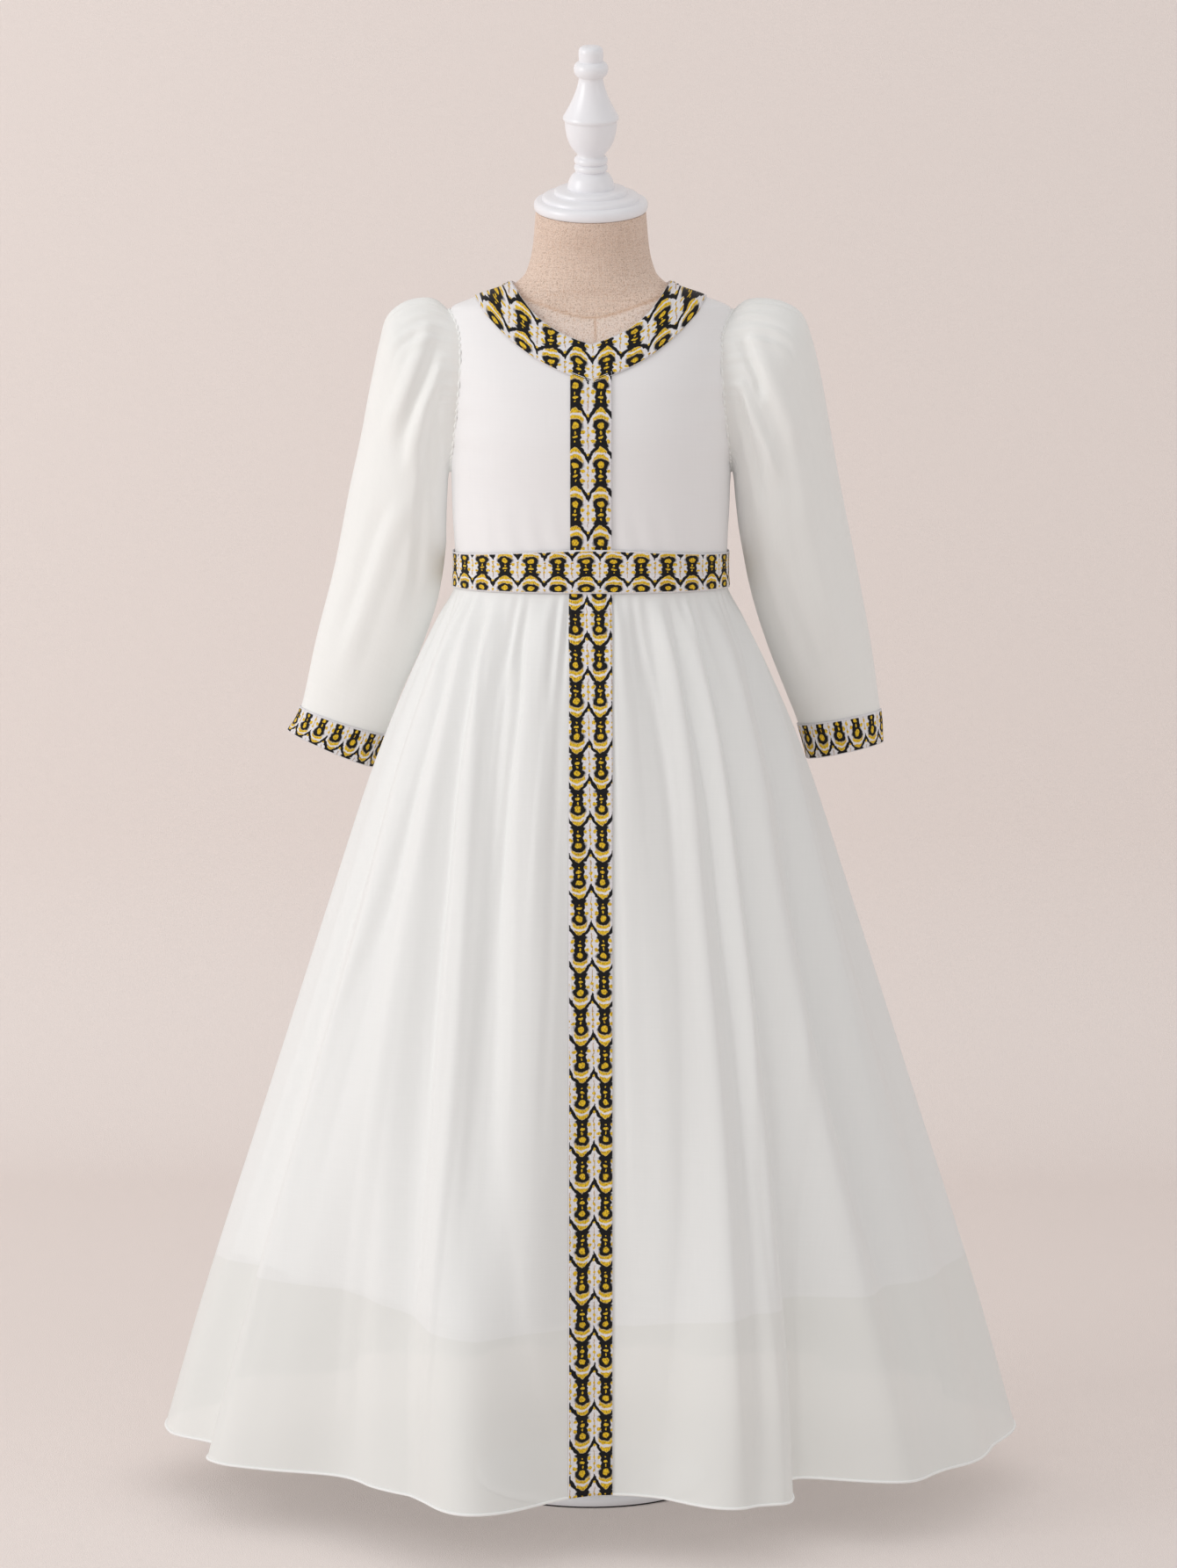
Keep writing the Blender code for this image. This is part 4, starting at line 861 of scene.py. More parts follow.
def ribbon_material(name, pitches, start, selvedge, point_down=False):
    """Ribbon with the motif, from the pitches of its columns and rows and a place where both start. The
    cloth place goes across and along, and the selvedge is white."""
    material, tree, shader = new_material(name, RIBBON_WHITE, 0.62, Specular_IOR_Level=0.22)
    place = cloth_place(tree)
    part = add_node(tree, "ShaderNodeSeparateXYZ", place).outputs
    across, along = (reckon(tree, "SUBTRACT", part[axis], start[axis]) for axis in (0, 1))
    if point_down:
        along = reckon(tree, "MULTIPLY", along, -1.0)
    pattern = add_node(tree, "ShaderNodeGroup", across, along, *pitches, node_tree=motif).outputs
    edge = add_node(tree, "ShaderNodeSeparateXYZ", cloth_place(tree, "edge")).outputs[0]
    inside = within(tree, edge, selvedge, 1.0, 0.0002)
    colour = between(tree, inside, RIBBON_WHITE, pattern["Colour"])
    height, shade = woven(tree, place, RIBBON_YARN)
    shade = ranged(tree, shade, 0.3, 0.7, 0.84, 1.12)
    tree.links.new(between(tree, 1.0, colour, shade, blend="MULTIPLY"), shader.inputs["Base Color"])
    raise_surface(tree, shader, 0.5, 0.0004, reckon(tree, "MULTIPLY_ADD", height, 0.5, pattern["Raised"]))
    return material


def make_ribbon(name, points, material, replaced, places, edges, faces=None):
    """A ribbon from its outer points. edges holds each point's distance from the ribbon's nearer edge."""
    if faces is None:
        faces = grid_faces(*edges.shape)
    piece = make_piece(name, points, faces, material, [replaced], places)
    lay_flat(piece.data, "edge", np.stack([edges, np.zeros_like(edges)], axis=-1))
    thicken(piece, "ribbon thickness", RIBBON_THICK)
    return piece


def ribbon_out(height):
    """How far a ribbon on the bodice stands off the form."""
    return bodice_clearance(height) + BODICE_THICK + RIBBON_OFF_BODICE + RIBBON_THICK


def make_bodice_trim():
    """The ribbon down the front, with its ends under the waist band and the neck band."""
    half = BODICE_RIBBON_WIDTH / 2
    across = np.linspace(-half, half, 25)
    t = np.linspace(0.0, 1.0, 90)[:, None]
    shoulder_x = form_section(np.array(NECK_EDGES["front outer"][1]))[0]
    low = BAND_BOTTOM + BAND_FRONT_WIDTH - UNDER_WAIST_BAND
    high = neck_edge("front outer", across / shoulder_x)[1] + UNDER_NECK_BAND
    z = low + (high[None, :] - low) * t
    x = across[None, :] + 0.0 * t
    points = on_form(form_angles(x, z, False), z, ribbon_out(z))
    material = ribbon_material(
        "bodice ribbon", pitches=(0.0208, 0.0317), start=(-0.0024, 0.8250), selvedge=0.0002
    )
    places = np.stack([x, z], axis=-1)
    return make_ribbon("bodice_trim_ribbon", points, material, "trim_bodice", places, half - np.abs(x))


def make_neck_band(name, back):
    """The band round half the neck. Its motif follows the band's outer edge."""
    side = "back" if back else "front"
    share = np.sin(np.radians(np.linspace(-90.0, 90.0, 161)))
    t = np.linspace(0.0, 1.0, 17)[:, None]
    outer_x, outer_z = neck_edge(side + " outer", share)
    inner_x, inner_z = neck_edge(side + " inner", share)
    x = outer_x[None, :] + (inner_x - outer_x)[None, :] * t
    z = outer_z[None, :] + (inner_z - outer_z)[None, :] * t
    points = seam_held(on_form(form_angles(x, z, back), z, ribbon_out(z)), back)
    shoulder_x = form_section(np.array(NECK_EDGES[side + " outer"][1]))[0]
    climb = neck_edge(side + " outer", np.clip(x / shoulder_x, -1.0, 1.0))[1]
    along = (z - climb) * 1.02 + MITRE_SHIFT * ease(0.012, 0.036, np.abs(x))
    places = np.stack([x * 1.03, along], axis=-1)
    edges = np.minimum(t, 1 - t) * np.hypot(outer_x - inner_x, outer_z - inner_z)[None, :]
    material = ribbon_material(
        f"{name} ribbon".replace("_", " "), pitches=(0.0233, 0.0235), start=(0.0015, 0.0024), selvedge=0.0003
    )
    faces = grid_faces(*x.shape)
    if back:
        faces = faces[:, ::-1]
    return make_ribbon(name + "_ribbon", points, material, name, places, edges, faces)


def make_waist_band(name, back):
    """The band round half the waist, a little narrower at the sides than in front and behind."""
    angles = np.linspace(-90.0, 90.0, 181) + (180.0 if back else 0.0)
    t = np.linspace(0.0, 1.0, 17)[:, None]
    widths = BAND_FRONT_WIDTH - (BAND_FRONT_WIDTH - BAND_SIDE_WIDTH) * np.sin(np.radians(angles)) ** 2
    z = BAND_BOTTOM + widths[None, :] * t
    angle = angles[None, :] + 0.0 * t
    points = seam_held(on_form(angle, z, np.full_like(z, BAND_OFF_FORM + RIBBON_THICK)), back)
    girth = lengths_along(points[len(t) // 2])
    girth = girth - girth[len(angles) // 2]
    places = np.stack([girth[None, :] + 0.0 * t, z], axis=-1)
    edges = np.minimum(t, 1 - t) * widths[None, :]
    material = ribbon_material(
        f"{name} ribbon".replace("_", " "), pitches=(0.0228, 0.0228), start=(0.0073, 0.8049), selvedge=0.0012
    )
    return make_ribbon(name + "_ribbon", points, material, name, places, edges)


trim_bodice = make_bodice_trim()
neck_front = make_neck_band("neck_band_front", False)
neck_back = make_neck_band("neck_band_back", True)
waist_front = make_waist_band("waist_band_front", False)
waist_back = make_waist_band("waist_band_back", True)


# Skirt
# Sheer white chiffon, cut as a flared front and two flared back halves, gathered into the waist seam
# and finished with a narrow rolled hem. It falls in broad soft flutes over its lining.
HEM_HEIGHT = 0.050
HEM_ROLL_RADIUS = 0.0012
TUBE_SIDES = 8
# The plain sections without flutes are at these heights, each with the same measures as the form's
SKIRT_HEIGHTS = (0.050, 0.160, 0.340, 0.520, 0.620, 0.700, 0.745, 0.767, 0.785)
SKIRT_HALF_WIDTHS = (0.3545, 0.3240, 0.2680, 0.2110, 0.1780, 0.1455, 0.1240, 0.1145, 0.1138)
SKIRT_FRONT_DEPTHS = (0.2640, 0.2420, 0.2010, 0.1580, 0.1335, 0.1095, 0.0940, 0.0870, 0.0863)
SKIRT_BACK_DEPTHS = (0.2700, 0.2480, 0.2060, 0.1620, 0.1360, 0.1105, 0.0940, 0.0858, 0.0848)
SKIRT_SQUARENESS = (2.0, 2.0, 2.0, 2.0, 2.1, 2.2, 2.3, 2.4, 2.4)
# The three places down the skirt where the flutes are measured, in shares of its length
FOLD_STATIONS = (0.05, 0.5, 1.0)
# Each flute: its angle under the waist band, half-way and at the hem, its height at the same three
# places, and its spread to either side there in degrees.
SKIRT_FLUTES = (
    (-88, -87, -89, 0.003, 0.005, 0.009, 7, 8, 12),
    (-75, -73, -76, -0.003, -0.008, -0.022, 6, 7, 8),
    (-65, -64, -67, 0.004, 0.008, 0.006, 6, 6, 7),
    (-56, -51, -49, 0.003, 0.003, -0.032, 6, 7, 17),
    (-51, -42, -35, -0.003, -0.008, -0.004, 5, 6, 7),
    (-46, -33, -19, 0.004, 0.008, 0.040, 5, 9, 14),
    (-39, -26, -24, -0.003, -0.004, 0.000, 5, 7, 8),
    (-32, -24, -22, -0.002, -0.003, 0.000, 4, 6, 8),
    (-23, -17, -14, 0.004, 0.008, 0.006, 7, 13, 14),
    (-14, -12, -10, 0.002, 0.000, 0.000, 4, 5, 6),
    (3, 3, 3, 0.000, -0.010, -0.028, 12, 16, 17),
    (15, 13, 10, 0.002, 0.000, 0.000, 4, 5, 6),
    (24, 22, 12, -0.002, 0.001, -0.004, 6, 7, 8),
    (34, 30, 23, 0.004, 0.009, 0.030, 6, 8, 11),
    (40, 36, 30, -0.003, -0.003, 0.000, 5, 5, 6),
    (46, 40, 32, 0.004, 0.009, 0.022, 5, 5, 7),
    (51, 45, 42, -0.003, -0.010, -0.044, 5, 7, 12),
    (60, 52, 53, 0.004, 0.009, 0.016, 6, 6, 11),
    (70, 60, 58, -0.003, -0.010, 0.000, 6, 7, 8),
    (79, 68, 67, 0.004, 0.009, 0.010, 6, 8, 11),
    (90, 88, 88, 0.003, 0.005, 0.008, 7, 9, 12),
    (102, 104, 105, -0.003, -0.008, -0.022, 6, 8, 11),
    (112, 115, 118, 0.004, 0.008, 0.014, 6, 8, 11),
    (123, 126, 130, -0.003, -0.009, -0.026, 6, 8, 11),
    (134, 138, 143, 0.004, 0.010, 0.024, 6, 9, 12),
    (146, 149, 156, -0.003, -0.007, -0.022, 6, 8, 11),
    (158, 162, 168, 0.004, 0.007, 0.014, 7, 9, 11),
    (170, 174, 180, -0.003, -0.004, -0.014, 6, 7, 10),
    (-101, -103, -104, -0.003, -0.007, -0.020, 6, 8, 11),
    (-113, -114, -116, 0.004, 0.009, 0.018, 6, 8, 11),
    (-124, -127, -129, -0.003, -0.008, -0.024, 6, 8, 11),
    (-136, -140, -142, 0.004, 0.009, 0.022, 7, 9, 12),
    (-148, -152, -155, -0.003, -0.008, -0.020, 6, 8, 11),
    (-159, -163, -167, 0.004, 0.007, 0.016, 6, 8, 11),
    (-171, -174, -179, -0.003, -0.003, -0.010, 6, 7, 10),
)
# Each crease that lies on the flutes: its height, its half-width to the viewer's left and right seen
# from outside, and its line down the skirt in (degrees, height).
SKIRT_CREASES = (
    (0.0022, 0.012, 0.007,
     ((-65, 0.730), (-60, 0.640), (-62, 0.530), (-66, 0.350), (-65.6, 0.170), (-66, 0.057))),
    (-0.0022, 0.007, 0.010, ((-58, 0.700), (-59, 0.530), (-62, 0.420), (-63, 0.300), (-61.5, 0.220))),
    (0.0018, 0.010, 0.010, ((-56, 0.735), (-52, 0.640), (-52, 0.535), (-50, 0.360), (-48.5, 0.060))),
    (-0.0016, 0.007, 0.007, ((-47.5, 0.640), (-42, 0.450), (-36, 0.290), (-34, 0.156))),
    (0.0024, 0.009, 0.006,
     ((-48.6, 0.740), (-40, 0.640), (-36, 0.540), (-31, 0.365), (-29.4, 0.210), (-28, 0.044))),
    (-0.0018, 0.005, 0.008, ((-35, 0.690), (-30, 0.510), (-27, 0.350), (-25, 0.240))),
    (-0.0028, 0.008, 0.005, ((-33, 0.735), (-28, 0.670), (-28, 0.575), (-26, 0.440))),
    (0.0020, 0.004, 0.014, ((-30, 0.730), (-25.5, 0.670), (-25, 0.575), (-23, 0.440))),
    (0.0016, 0.006, 0.010, ((-18.7, 0.735), (-16.5, 0.640), (-16.5, 0.560), (-16, 0.470))),
    (-0.0012, 0.006, 0.006, ((-12.5, 0.740), (-12, 0.600), (-11, 0.420), (-11, 0.300))),
    (0.0014, 0.005, 0.012, ((10.5, 0.750), (10.5, 0.600), (10, 0.400), (9.5, 0.220))),
    (-0.0014, 0.008, 0.006, ((22, 0.740), (25, 0.680), (26, 0.600), (25, 0.520))),
    (0.0026, 0.012, 0.006,
     ((33.4, 0.740), (34.7, 0.700), (31.4, 0.540), (28.8, 0.365), (25.5, 0.190), (23.6, 0.050))),
    (-0.0024, 0.005, 0.009, ((37, 0.715), (39, 0.600), (37, 0.510), (33.6, 0.400))),
    (0.0026, 0.010, 0.005,
     ((44.6, 0.735), (45, 0.680), (44, 0.620), (43, 0.550), (41, 0.470), (33.6, 0.260), (31, 0.053))),
    (-0.0026, 0.005, 0.010,
     ((50, 0.730), (49.5, 0.670), (45.5, 0.500), (40.7, 0.360), (36.6, 0.220), (35, 0.150))),
    (0.0024, 0.010, 0.006,
     ((61, 0.730), (58, 0.680), (56, 0.610), (54, 0.545), (54, 0.470), (49, 0.360), (43.4, 0.200),
      (41.7, 0.060))),
    (-0.0030, 0.006, 0.010,
     ((73.5, 0.730), (66.5, 0.650), (65, 0.570), (62, 0.500), (59, 0.420), (57, 0.350), (54, 0.230))),
    (0.0022, 0.010, 0.007,
     ((79, 0.730), (70, 0.580), (67, 0.470), (65, 0.350), (64.6, 0.260), (63.7, 0.100))),
    (-0.0020, 0.008, 0.008, ((-76, 0.720), (-73, 0.600), (-75, 0.420), (-78, 0.200))),
    (0.0022, 0.010, 0.007, ((97, 0.730), (99, 0.560), (98, 0.380), (100, 0.200))),
    (-0.0024, 0.006, 0.009, ((108, 0.735), (109, 0.600), (110, 0.420), (109, 0.260))),
    (0.0024, 0.009, 0.006, ((119, 0.730), (120, 0.560), (123, 0.330), (124, 0.080))),
    (-0.0022, 0.006, 0.009, ((129, 0.740), (131, 0.620), (132, 0.450))),
    (0.0026, 0.006, 0.010, ((140, 0.735), (143, 0.600), (147, 0.380), (150, 0.090))),
    (-0.0022, 0.008, 0.006, ((153, 0.730), (155, 0.560), (160, 0.360), (162, 0.200))),
    (0.0020, 0.008, 0.008, ((164, 0.740), (167, 0.620), (169, 0.480))),
    (-0.0018, 0.007, 0.007, ((171, 0.690), (174, 0.480), (176, 0.300))),
    (0.0022, 0.007, 0.010, ((-97, 0.735), (-96, 0.590), (-98, 0.400), (-97, 0.160))),
    (-0.0022, 0.008, 0.006, ((-107, 0.720), (-108, 0.560), (-110, 0.380))),
    (0.0026, 0.006, 0.010, ((-118, 0.730), (-120, 0.560), (-121, 0.350), (-123, 0.070))),
    (-0.0024, 0.009, 0.006, ((-131, 0.735), (-133, 0.580), (-134, 0.400), (-136, 0.220))),
    (0.0022, 0.010, 0.006, ((-142, 0.730), (-146, 0.600), (-147, 0.420), (-149, 0.250))),
    (-0.0022, 0.006, 0.009, ((-154, 0.740), (-157, 0.600), (-160, 0.430), (-161, 0.260))),
    (0.0022, 0.008, 0.008, ((-165, 0.735), (-168, 0.580), (-171, 0.360), (-173, 0.120))),
)
FLUTES_FULL_BELOW = 0.735
CREASE_SHARE = 0.7
# The gathers under the waist band: how many there are to the turn, how tall, and where they merge
WAIST_GATHERS = 58
GATHER_HEIGHT = 0.0009
GATHER_END = 0.708
CHIFFON_WHITE = (0.880, 0.888, 0.878)
# Painted shade: the greyer white of the chiffon below the lining's hem, for the dim inside of the skirt seen
# through it
SHEER_PAINTED_SHADE = (0.815, 0.822, 0.800)
# Height of the lining's hem, which shows through the chiffon and below which the chiffon is painted greyer
# as shade, in degrees round the skirt
LINING_HEMS = (
    (-90, 0.200), (-70, 0.203), (-52, 0.202), (-44, 0.197), (-35, 0.190), (-28, 0.182), (-20, 0.179),
    (-12, 0.183), (9, 0.185), (21, 0.191), (30, 0.196), (40, 0.197), (52, 0.199), (70, 0.202), (90, 0.200),
    (110, 0.195), (130, 0.199), (155, 0.190), (180, 0.187), (205, 0.192), (230, 0.199),
    (250, 0.195), (270, 0.200),
)
# How much of what lies behind it the chiffon covers, and how much of the light it keeps off it
CHIFFON_COVER = 0.90
CHIFFON_SHADE = 0.08
CHIFFON_YARN = 0.0004


def shortest_turn(degrees):
    return (degrees + 180.0) % 360.0 - 180.0


def rounded(share):
    """The height of a round fold, from 1 on its crest to 0 at a share of 1 and beyond."""
    return 0.5 + 0.5 * np.cos(np.pi * np.clip(share, 0.0, 1.0))


def flute_offset(angle, height):
    """How far the flutes stand out of the skirt's plain sections, and in where it is negative."""
    down = (WAIST_SEAM - height) / (WAIST_SEAM - HEM_HEIGHT)
    offset = np.zeros_like(angle + height)
    for row in SKIRT_FLUTES:
        crest = smooth_through(FOLD_STATIONS, row[0:3], down)
        tall = smooth_through(FOLD_STATIONS, row[3:6], down)
        spread = smooth_through(FOLD_STATIONS, row[6:9], down)
        offset = offset + tall * rounded(np.abs(shortest_turn(angle - crest)) / spread)
    return offset * (1 - ease(FLUTES_FULL_BELOW, BAND_BOTTOM + 0.001, height))


def crease_offset(angle, height):
    """The narrow creases on the flutes, each of which dies away at both ends."""
    offset = np.zeros_like(angle + height)
    radius = skirt_plain(angle, height)
    for tall, left_width, right_width, line in SKIRT_CREASES:
        degrees, heights = zip(*reversed(line))
        crest = smooth_through(heights, degrees, height)
        across = np.radians(shortest_turn(angle - crest)) * radius
        width = np.where(across < 0, left_width, right_width) * (0.8 + 0.9 * (WAIST_SEAM - height))
        low, high = heights[0], heights[-1]
        alive = ease(low - 0.02, low + 0.10, height) * (1 - ease(high - 0.02, high + 0.02, height))
        offset = offset + CREASE_SHARE * tall * rounded(np.abs(across) / width) * alive
    return offset


def gather_offset(angle, height):
    """Small uneven gathers that come out from under the waist band and soon merge."""
    turn = np.radians(angle)
    wave = np.sin(turn * WAIST_GATHERS + 2.3 * np.sin(turn * 5.0 + 0.6) + 1.2 * np.sin(turn * 13.0 + 1.9))
    tall = GATHER_HEIGHT * (0.75 + 0.25 * np.sin(turn * 17.0) + 0.25 * np.sin(turn * 7.0 + 2.0))
    end = GATHER_END + 0.022 * np.sin(turn * 11.0 + 1.0) + 0.012 * np.sin(turn * 23.0)
    return wave * tall * ease(end - 0.035, end + 0.030, height)


def skirt_plain(angle, height):
    section = [
        smooth_through(SKIRT_HEIGHTS, column, height)
        for column in (SKIRT_HALF_WIDTHS, SKIRT_FRONT_DEPTHS, SKIRT_BACK_DEPTHS, SKIRT_SQUARENESS)
    ]
    return section_radius(*section, angle)


def skirt_points(angle, height):
    under_band = 1 - ease(BAND_BOTTOM - 0.008, BAND_BOTTOM + 0.001, height)
    fine = (crease_offset(angle, height) + gather_offset(angle, height)) * under_band
    return round_points(skirt_plain(angle, height) + flute_offset(angle, height) + fine, angle, height)


def lining_hem(angle):
    """Height of the lining's hem, which is a little uneven, all round the skirt."""
    degrees, heights = zip(*LINING_HEMS)
    return np.interp((angle + 90.0) % 360.0 - 90.0, degrees, heights)


def skirt_cloth_places(angle, height):
    """Flat places on the flared cloth, in metres: girth at this height, and length."""
    return np.stack([np.radians(angle) * skirt_plain(angle, height), height + 0.0 * angle], axis=-1)


def let_light_through(tree, shader, cover, shade):
    """Thin cloth covers one share of what lies behind it, and keeps another share of the light off it."""
    to_light = add_node(tree, "ShaderNodeLightPath").outputs["Is Shadow Ray"]
    tree.links.new(reckon(tree, "MULTIPLY_ADD", to_light, shade - cover, cover), shader.inputs["Alpha"])


def chiffon_material(name, white, cover, lined=False):
    """Sheer cloth. Where it is lined, its colour is painted greyer below the lining's hem, as painted shade
    of the skirt's dim inside seen through it.
    """
    material, tree, shader = new_material(name, white, 0.85, Sheen_Weight=0.45)
    let_light_through(tree, shader, cover, CHIFFON_SHADE)
    height, shade = woven(tree, cloth_place(tree), CHIFFON_YARN)
    colour = between(tree, shade, dimmed(white, 0.94), white)
    if lined:
        # Painted shade: below the lining's hem the chiffon turns greyer, for the dim inside of the skirt
        # seen through it
        over_lining = ranged(tree, point_mark(tree, "above lining hem"), -0.0008, 0.0008, 0.0, 1.0)
        colour = between(tree, over_lining, SHEER_PAINTED_SHADE, colour)
    tree.links.new(colour, shader.inputs["Base Color"])
    raise_surface(tree, shader, 0.15, 0.0003, height)
    return material


chiffon = chiffon_material("white chiffon", CHIFFON_WHITE, CHIFFON_COVER, lined=True)


def make_skirt_panel(name, angles, back):
    """A panel of the skirt between two seams. Its rows lie closer together towards the waist."""
    t = np.linspace(0.0, 1.0, 150)
    heights = WAIST_SEAM - (WAIST_SEAM - HEM_HEIGHT) * (1 - t) ** 1.15
    height, angle = np.meshgrid(heights, angles, indexing="ij")
    points = seam_held(skirt_points(angle, height), back)
    places = skirt_cloth_places(angle, height)
    faces = grid_faces(*height.shape)
    panel = make_piece(name + "_chiffon", points, faces, chiffon, [name], places)
    mark_points(panel.data, "above lining hem", height - lining_hem(angle))
    return panel


def tube_points(line, ahead, level, radius):
    """Points of a thin tube along a line, from the way ahead at each point and a direction across it."""
    ahead = ahead / np.linalg.norm(ahead, axis=1, keepdims=True)
    side = np.cross(ahead, np.array(level))
    side /= np.linalg.norm(side, axis=1, keepdims=True)
    over = np.cross(side, ahead)
    around = np.linspace(0.0, 2 * np.pi, TUBE_SIDES, endpoint=False)[None, :, None]
    ring = side[:, None, :] * np.cos(around) + over[:, None, :] * np.sin(around)
    return line[:, None, :] + radius * ring


def make_hem(name, line, radius, material):
    """A thin rolled edge along a line of points."""
    points = tube_points(line, np.gradient(line, axis=0), (0.0, 0.0, 1.0), radius)
    faces = grid_faces(len(line), TUBE_SIDES, closed=True)[:, ::-1]
    return make_piece(name, points, faces, material, [])


rolled_hem, hem_tree, hem_shader = new_material("rolled chiffon hem", CHIFFON_WHITE, 0.85, Sheen_Weight=0.2)
raise_surface(hem_tree, hem_shader, 0.4, 0.0004, noise(hem_tree, object_place(hem_tree), 900.0, 2.0))

for name, first, last, columns, width in (
    ("skirt_front", -90.0, 90.0, 420, 1.10),
    ("skirt_back_left", 90.0, 180.0, 150, 0.55),
    ("skirt_back_right", -180.0, -90.0, 150, 0.55),
):
    back = "back" in name
    angles = np.linspace(first, last, columns)
    panel = make_skirt_panel(name, angles, back)
    hem_line = skirt_points(angles, np.full_like(angles, HEM_HEIGHT))
    hem = make_hem(name + "_chiffon_hem", hem_line, HEM_ROLL_RADIUS, rolled_hem)


# Front ribbon of the skirt
# The same ribbon as on the bodice, turned so that its motif points down. It is topstitched to the chiffon
# from the waist band to the hem and follows the cloth.
SKIRT_MOTIF_TIP = 0.6776
SKIRT_ROW_PITCH = 0.0298
SKIRT_RIBBON_OUT = 0.0013
# The woven pattern drifts a little to one side down the ribbon: two heights, and the drift at each
PATTERN_DRIFT = ((0.36, 0.76), (-0.0062, -0.0006))


def make_skirt_trim():
    half = SKIRT_RIBBON_WIDTH / 2
    heights = np.linspace(HEM_HEIGHT - 0.0005, BAND_BOTTOM + UNDER_WAIST_BAND, 320)
    radius = np.linalg.norm(skirt_points(np.zeros_like(heights), heights)[:, :2], axis=1)
    share = np.linspace(-1.0, 1.0, 17)[None, :]
    angle = np.degrees(np.arcsin(half / radius))[:, None] * share
    height = heights[:, None] + 0.0 * share
    normals = surface_normals(skirt_points, angle, height)
    points = skirt_points(angle, height) + normals * SKIRT_RIBBON_OUT
    length = lengths_along(points[:, share.size // 2])
    length = length - np.interp(SKIRT_MOTIF_TIP, heights, length)
    across = share * half + 0.0 * height
    places = np.stack([across + np.interp(height, *PATTERN_DRIFT), length[:, None] + 0.0 * across], axis=-1)
    material = ribbon_material(
        "skirt ribbon", pitches=(0.0194, SKIRT_ROW_PITCH), start=(-0.0039, -0.36 * SKIRT_ROW_PITCH),
        selvedge=0.0002, point_down=True,
    )
    return make_ribbon("skirt_trim_ribbon", points, material, "trim_skirt", places, half - np.abs(across))


trim_skirt = make_skirt_trim()


# Skirt lining
# White satin, cut plainer than the skirt and about 140 mm shorter, and gathered into the same waist seam.
# Its hem is stitched and shows through the chiffon, whose colour is painted greyer below it as painted shade
# of the skirt's dim inside.
LINING_INSET_TOP = 0.0016
LINING_INSET_LOW = 0.008
LINING_WHITE = (0.92, 0.91, 0.905)
LINING_SHADE = 0.15
LINING_YARN = 0.00035
LINING_HEM_RADIUS = 0.0011


def lining_points(angle, height):
    """The lining stays inside the deepest fold nearby, and follows the folds outwards only half-way."""
    down = (WAIST_SEAM - height) / (WAIST_SEAM - HEM_HEIGHT)
    inset = LINING_INSET_TOP + (LINING_INSET_LOW - LINING_INSET_TOP) * ease(0.02, 0.25, down)
    nearby = [flute_offset(angle + step, height) for step in (-6.0, -3.0, 0.0, 3.0, 6.0)]
    fold = np.minimum.reduce(nearby)
    return round_points(skirt_plain(angle, height) + np.minimum(fold, 0.5 * fold) - inset, angle, height)


def satin_material():
    material, tree, shader = new_material("white satin lining", LINING_WHITE, 0.5, Sheen_Weight=0.1)
    height, shade = woven(tree, cloth_place(tree), LINING_YARN)
    colour = between(tree, shade, dimmed(LINING_WHITE, 0.95), LINING_WHITE)
    tree.links.new(colour, shader.inputs["Base Color"])
    let_light_through(tree, shader, 1.0, LINING_SHADE)
    raise_surface(tree, shader, 0.15, 0.0002, height)
    return material


def stitched_edge_material(name, white, dark_share, grain_scale, roughness, **finish):
    """White stitching, which is darker in small spots."""
    material, tree, shader = new_material(name, white, roughness, **finish)
    grain = noise(tree, object_place(tree), grain_scale, 2.0)
    tree.links.new(between(tree, grain, dimmed(white, dark_share), white), shader.inputs["Base Color"])
    return material


satin = satin_material()
hem_stitching = stitched_edge_material("lining hem stitching", LINING_WHITE, 0.8, 700.0, 0.7)
for name, first, last, band in (
    ("lining_front", -90.0, 90.0, waist_front),
    ("lining_back", 90.0, 270.0, waist_back),
):
    share, angle = np.meshgrid(np.linspace(0.0, 1.0, 90), np.linspace(first, last, 240), indexing="ij")
    height = lining_hem(angle) + (WAIST_SEAM - lining_hem(angle)) * share
    points = seam_held(lining_points(angle, height), band is waist_back)
    places = skirt_cloth_places(angle, height)
    panel = make_piece(name + "_satin", points, grid_faces(*height.shape), satin, [name], places)
    turned_up = make_hem(name + "_satin_hem", points[0], LINING_HEM_RADIUS, hem_stitching)


# Sleeves
# Long sleeves of the same chiffon, gathered at the head so that they puff a little above the shoulder,
# and narrowing to the wrist, where a band of ribbon covers the end.
SLEEVE_COLUMNS = 240
SLEEVE_GATHERS = 34
SLEEVE_GATHER_HEIGHT = 0.0013
ARMHOLE_PUCKERS = 53
PUCKER_HEIGHT = 0.0005
# Each section: x and height of its outer and its inner side, how far behind the middle it lies, and half
# its depth
RIGHT_SLEEVE = (
    (-0.1300, 1.0050, -0.1195, 0.8570, 0.000, 0.0445),
    (-0.1440, 1.0062, -0.1200, 0.8480, 0.001, 0.0490),
    (-0.1590, 1.0015, -0.1205, 0.8385, 0.002, 0.0520),
    (-0.1710, 0.9900, -0.1210, 0.8280, 0.003, 0.0530),
    (-0.1775, 0.9660, -0.1213, 0.8150, 0.004, 0.0530),
    (-0.1840, 0.9337, -0.1217, 0.8000, 0.006, 0.0520),
    (-0.1933, 0.8895, -0.1250, 0.7742, 0.010, 0.0490),
    (-0.2034, 0.8451, -0.1310, 0.7474, 0.016, 0.0450),
    (-0.2165, 0.7810, -0.1440, 0.7110, 0.025, 0.0395),
    (-0.2325, 0.7210, -0.1605, 0.6740, 0.036, 0.0335),
    (-0.2464, 0.6610, -0.1745, 0.6374, 0.046, 0.0270),
    (-0.2577, 0.6402, -0.1866, 0.6090, 0.049, 0.0260),
)
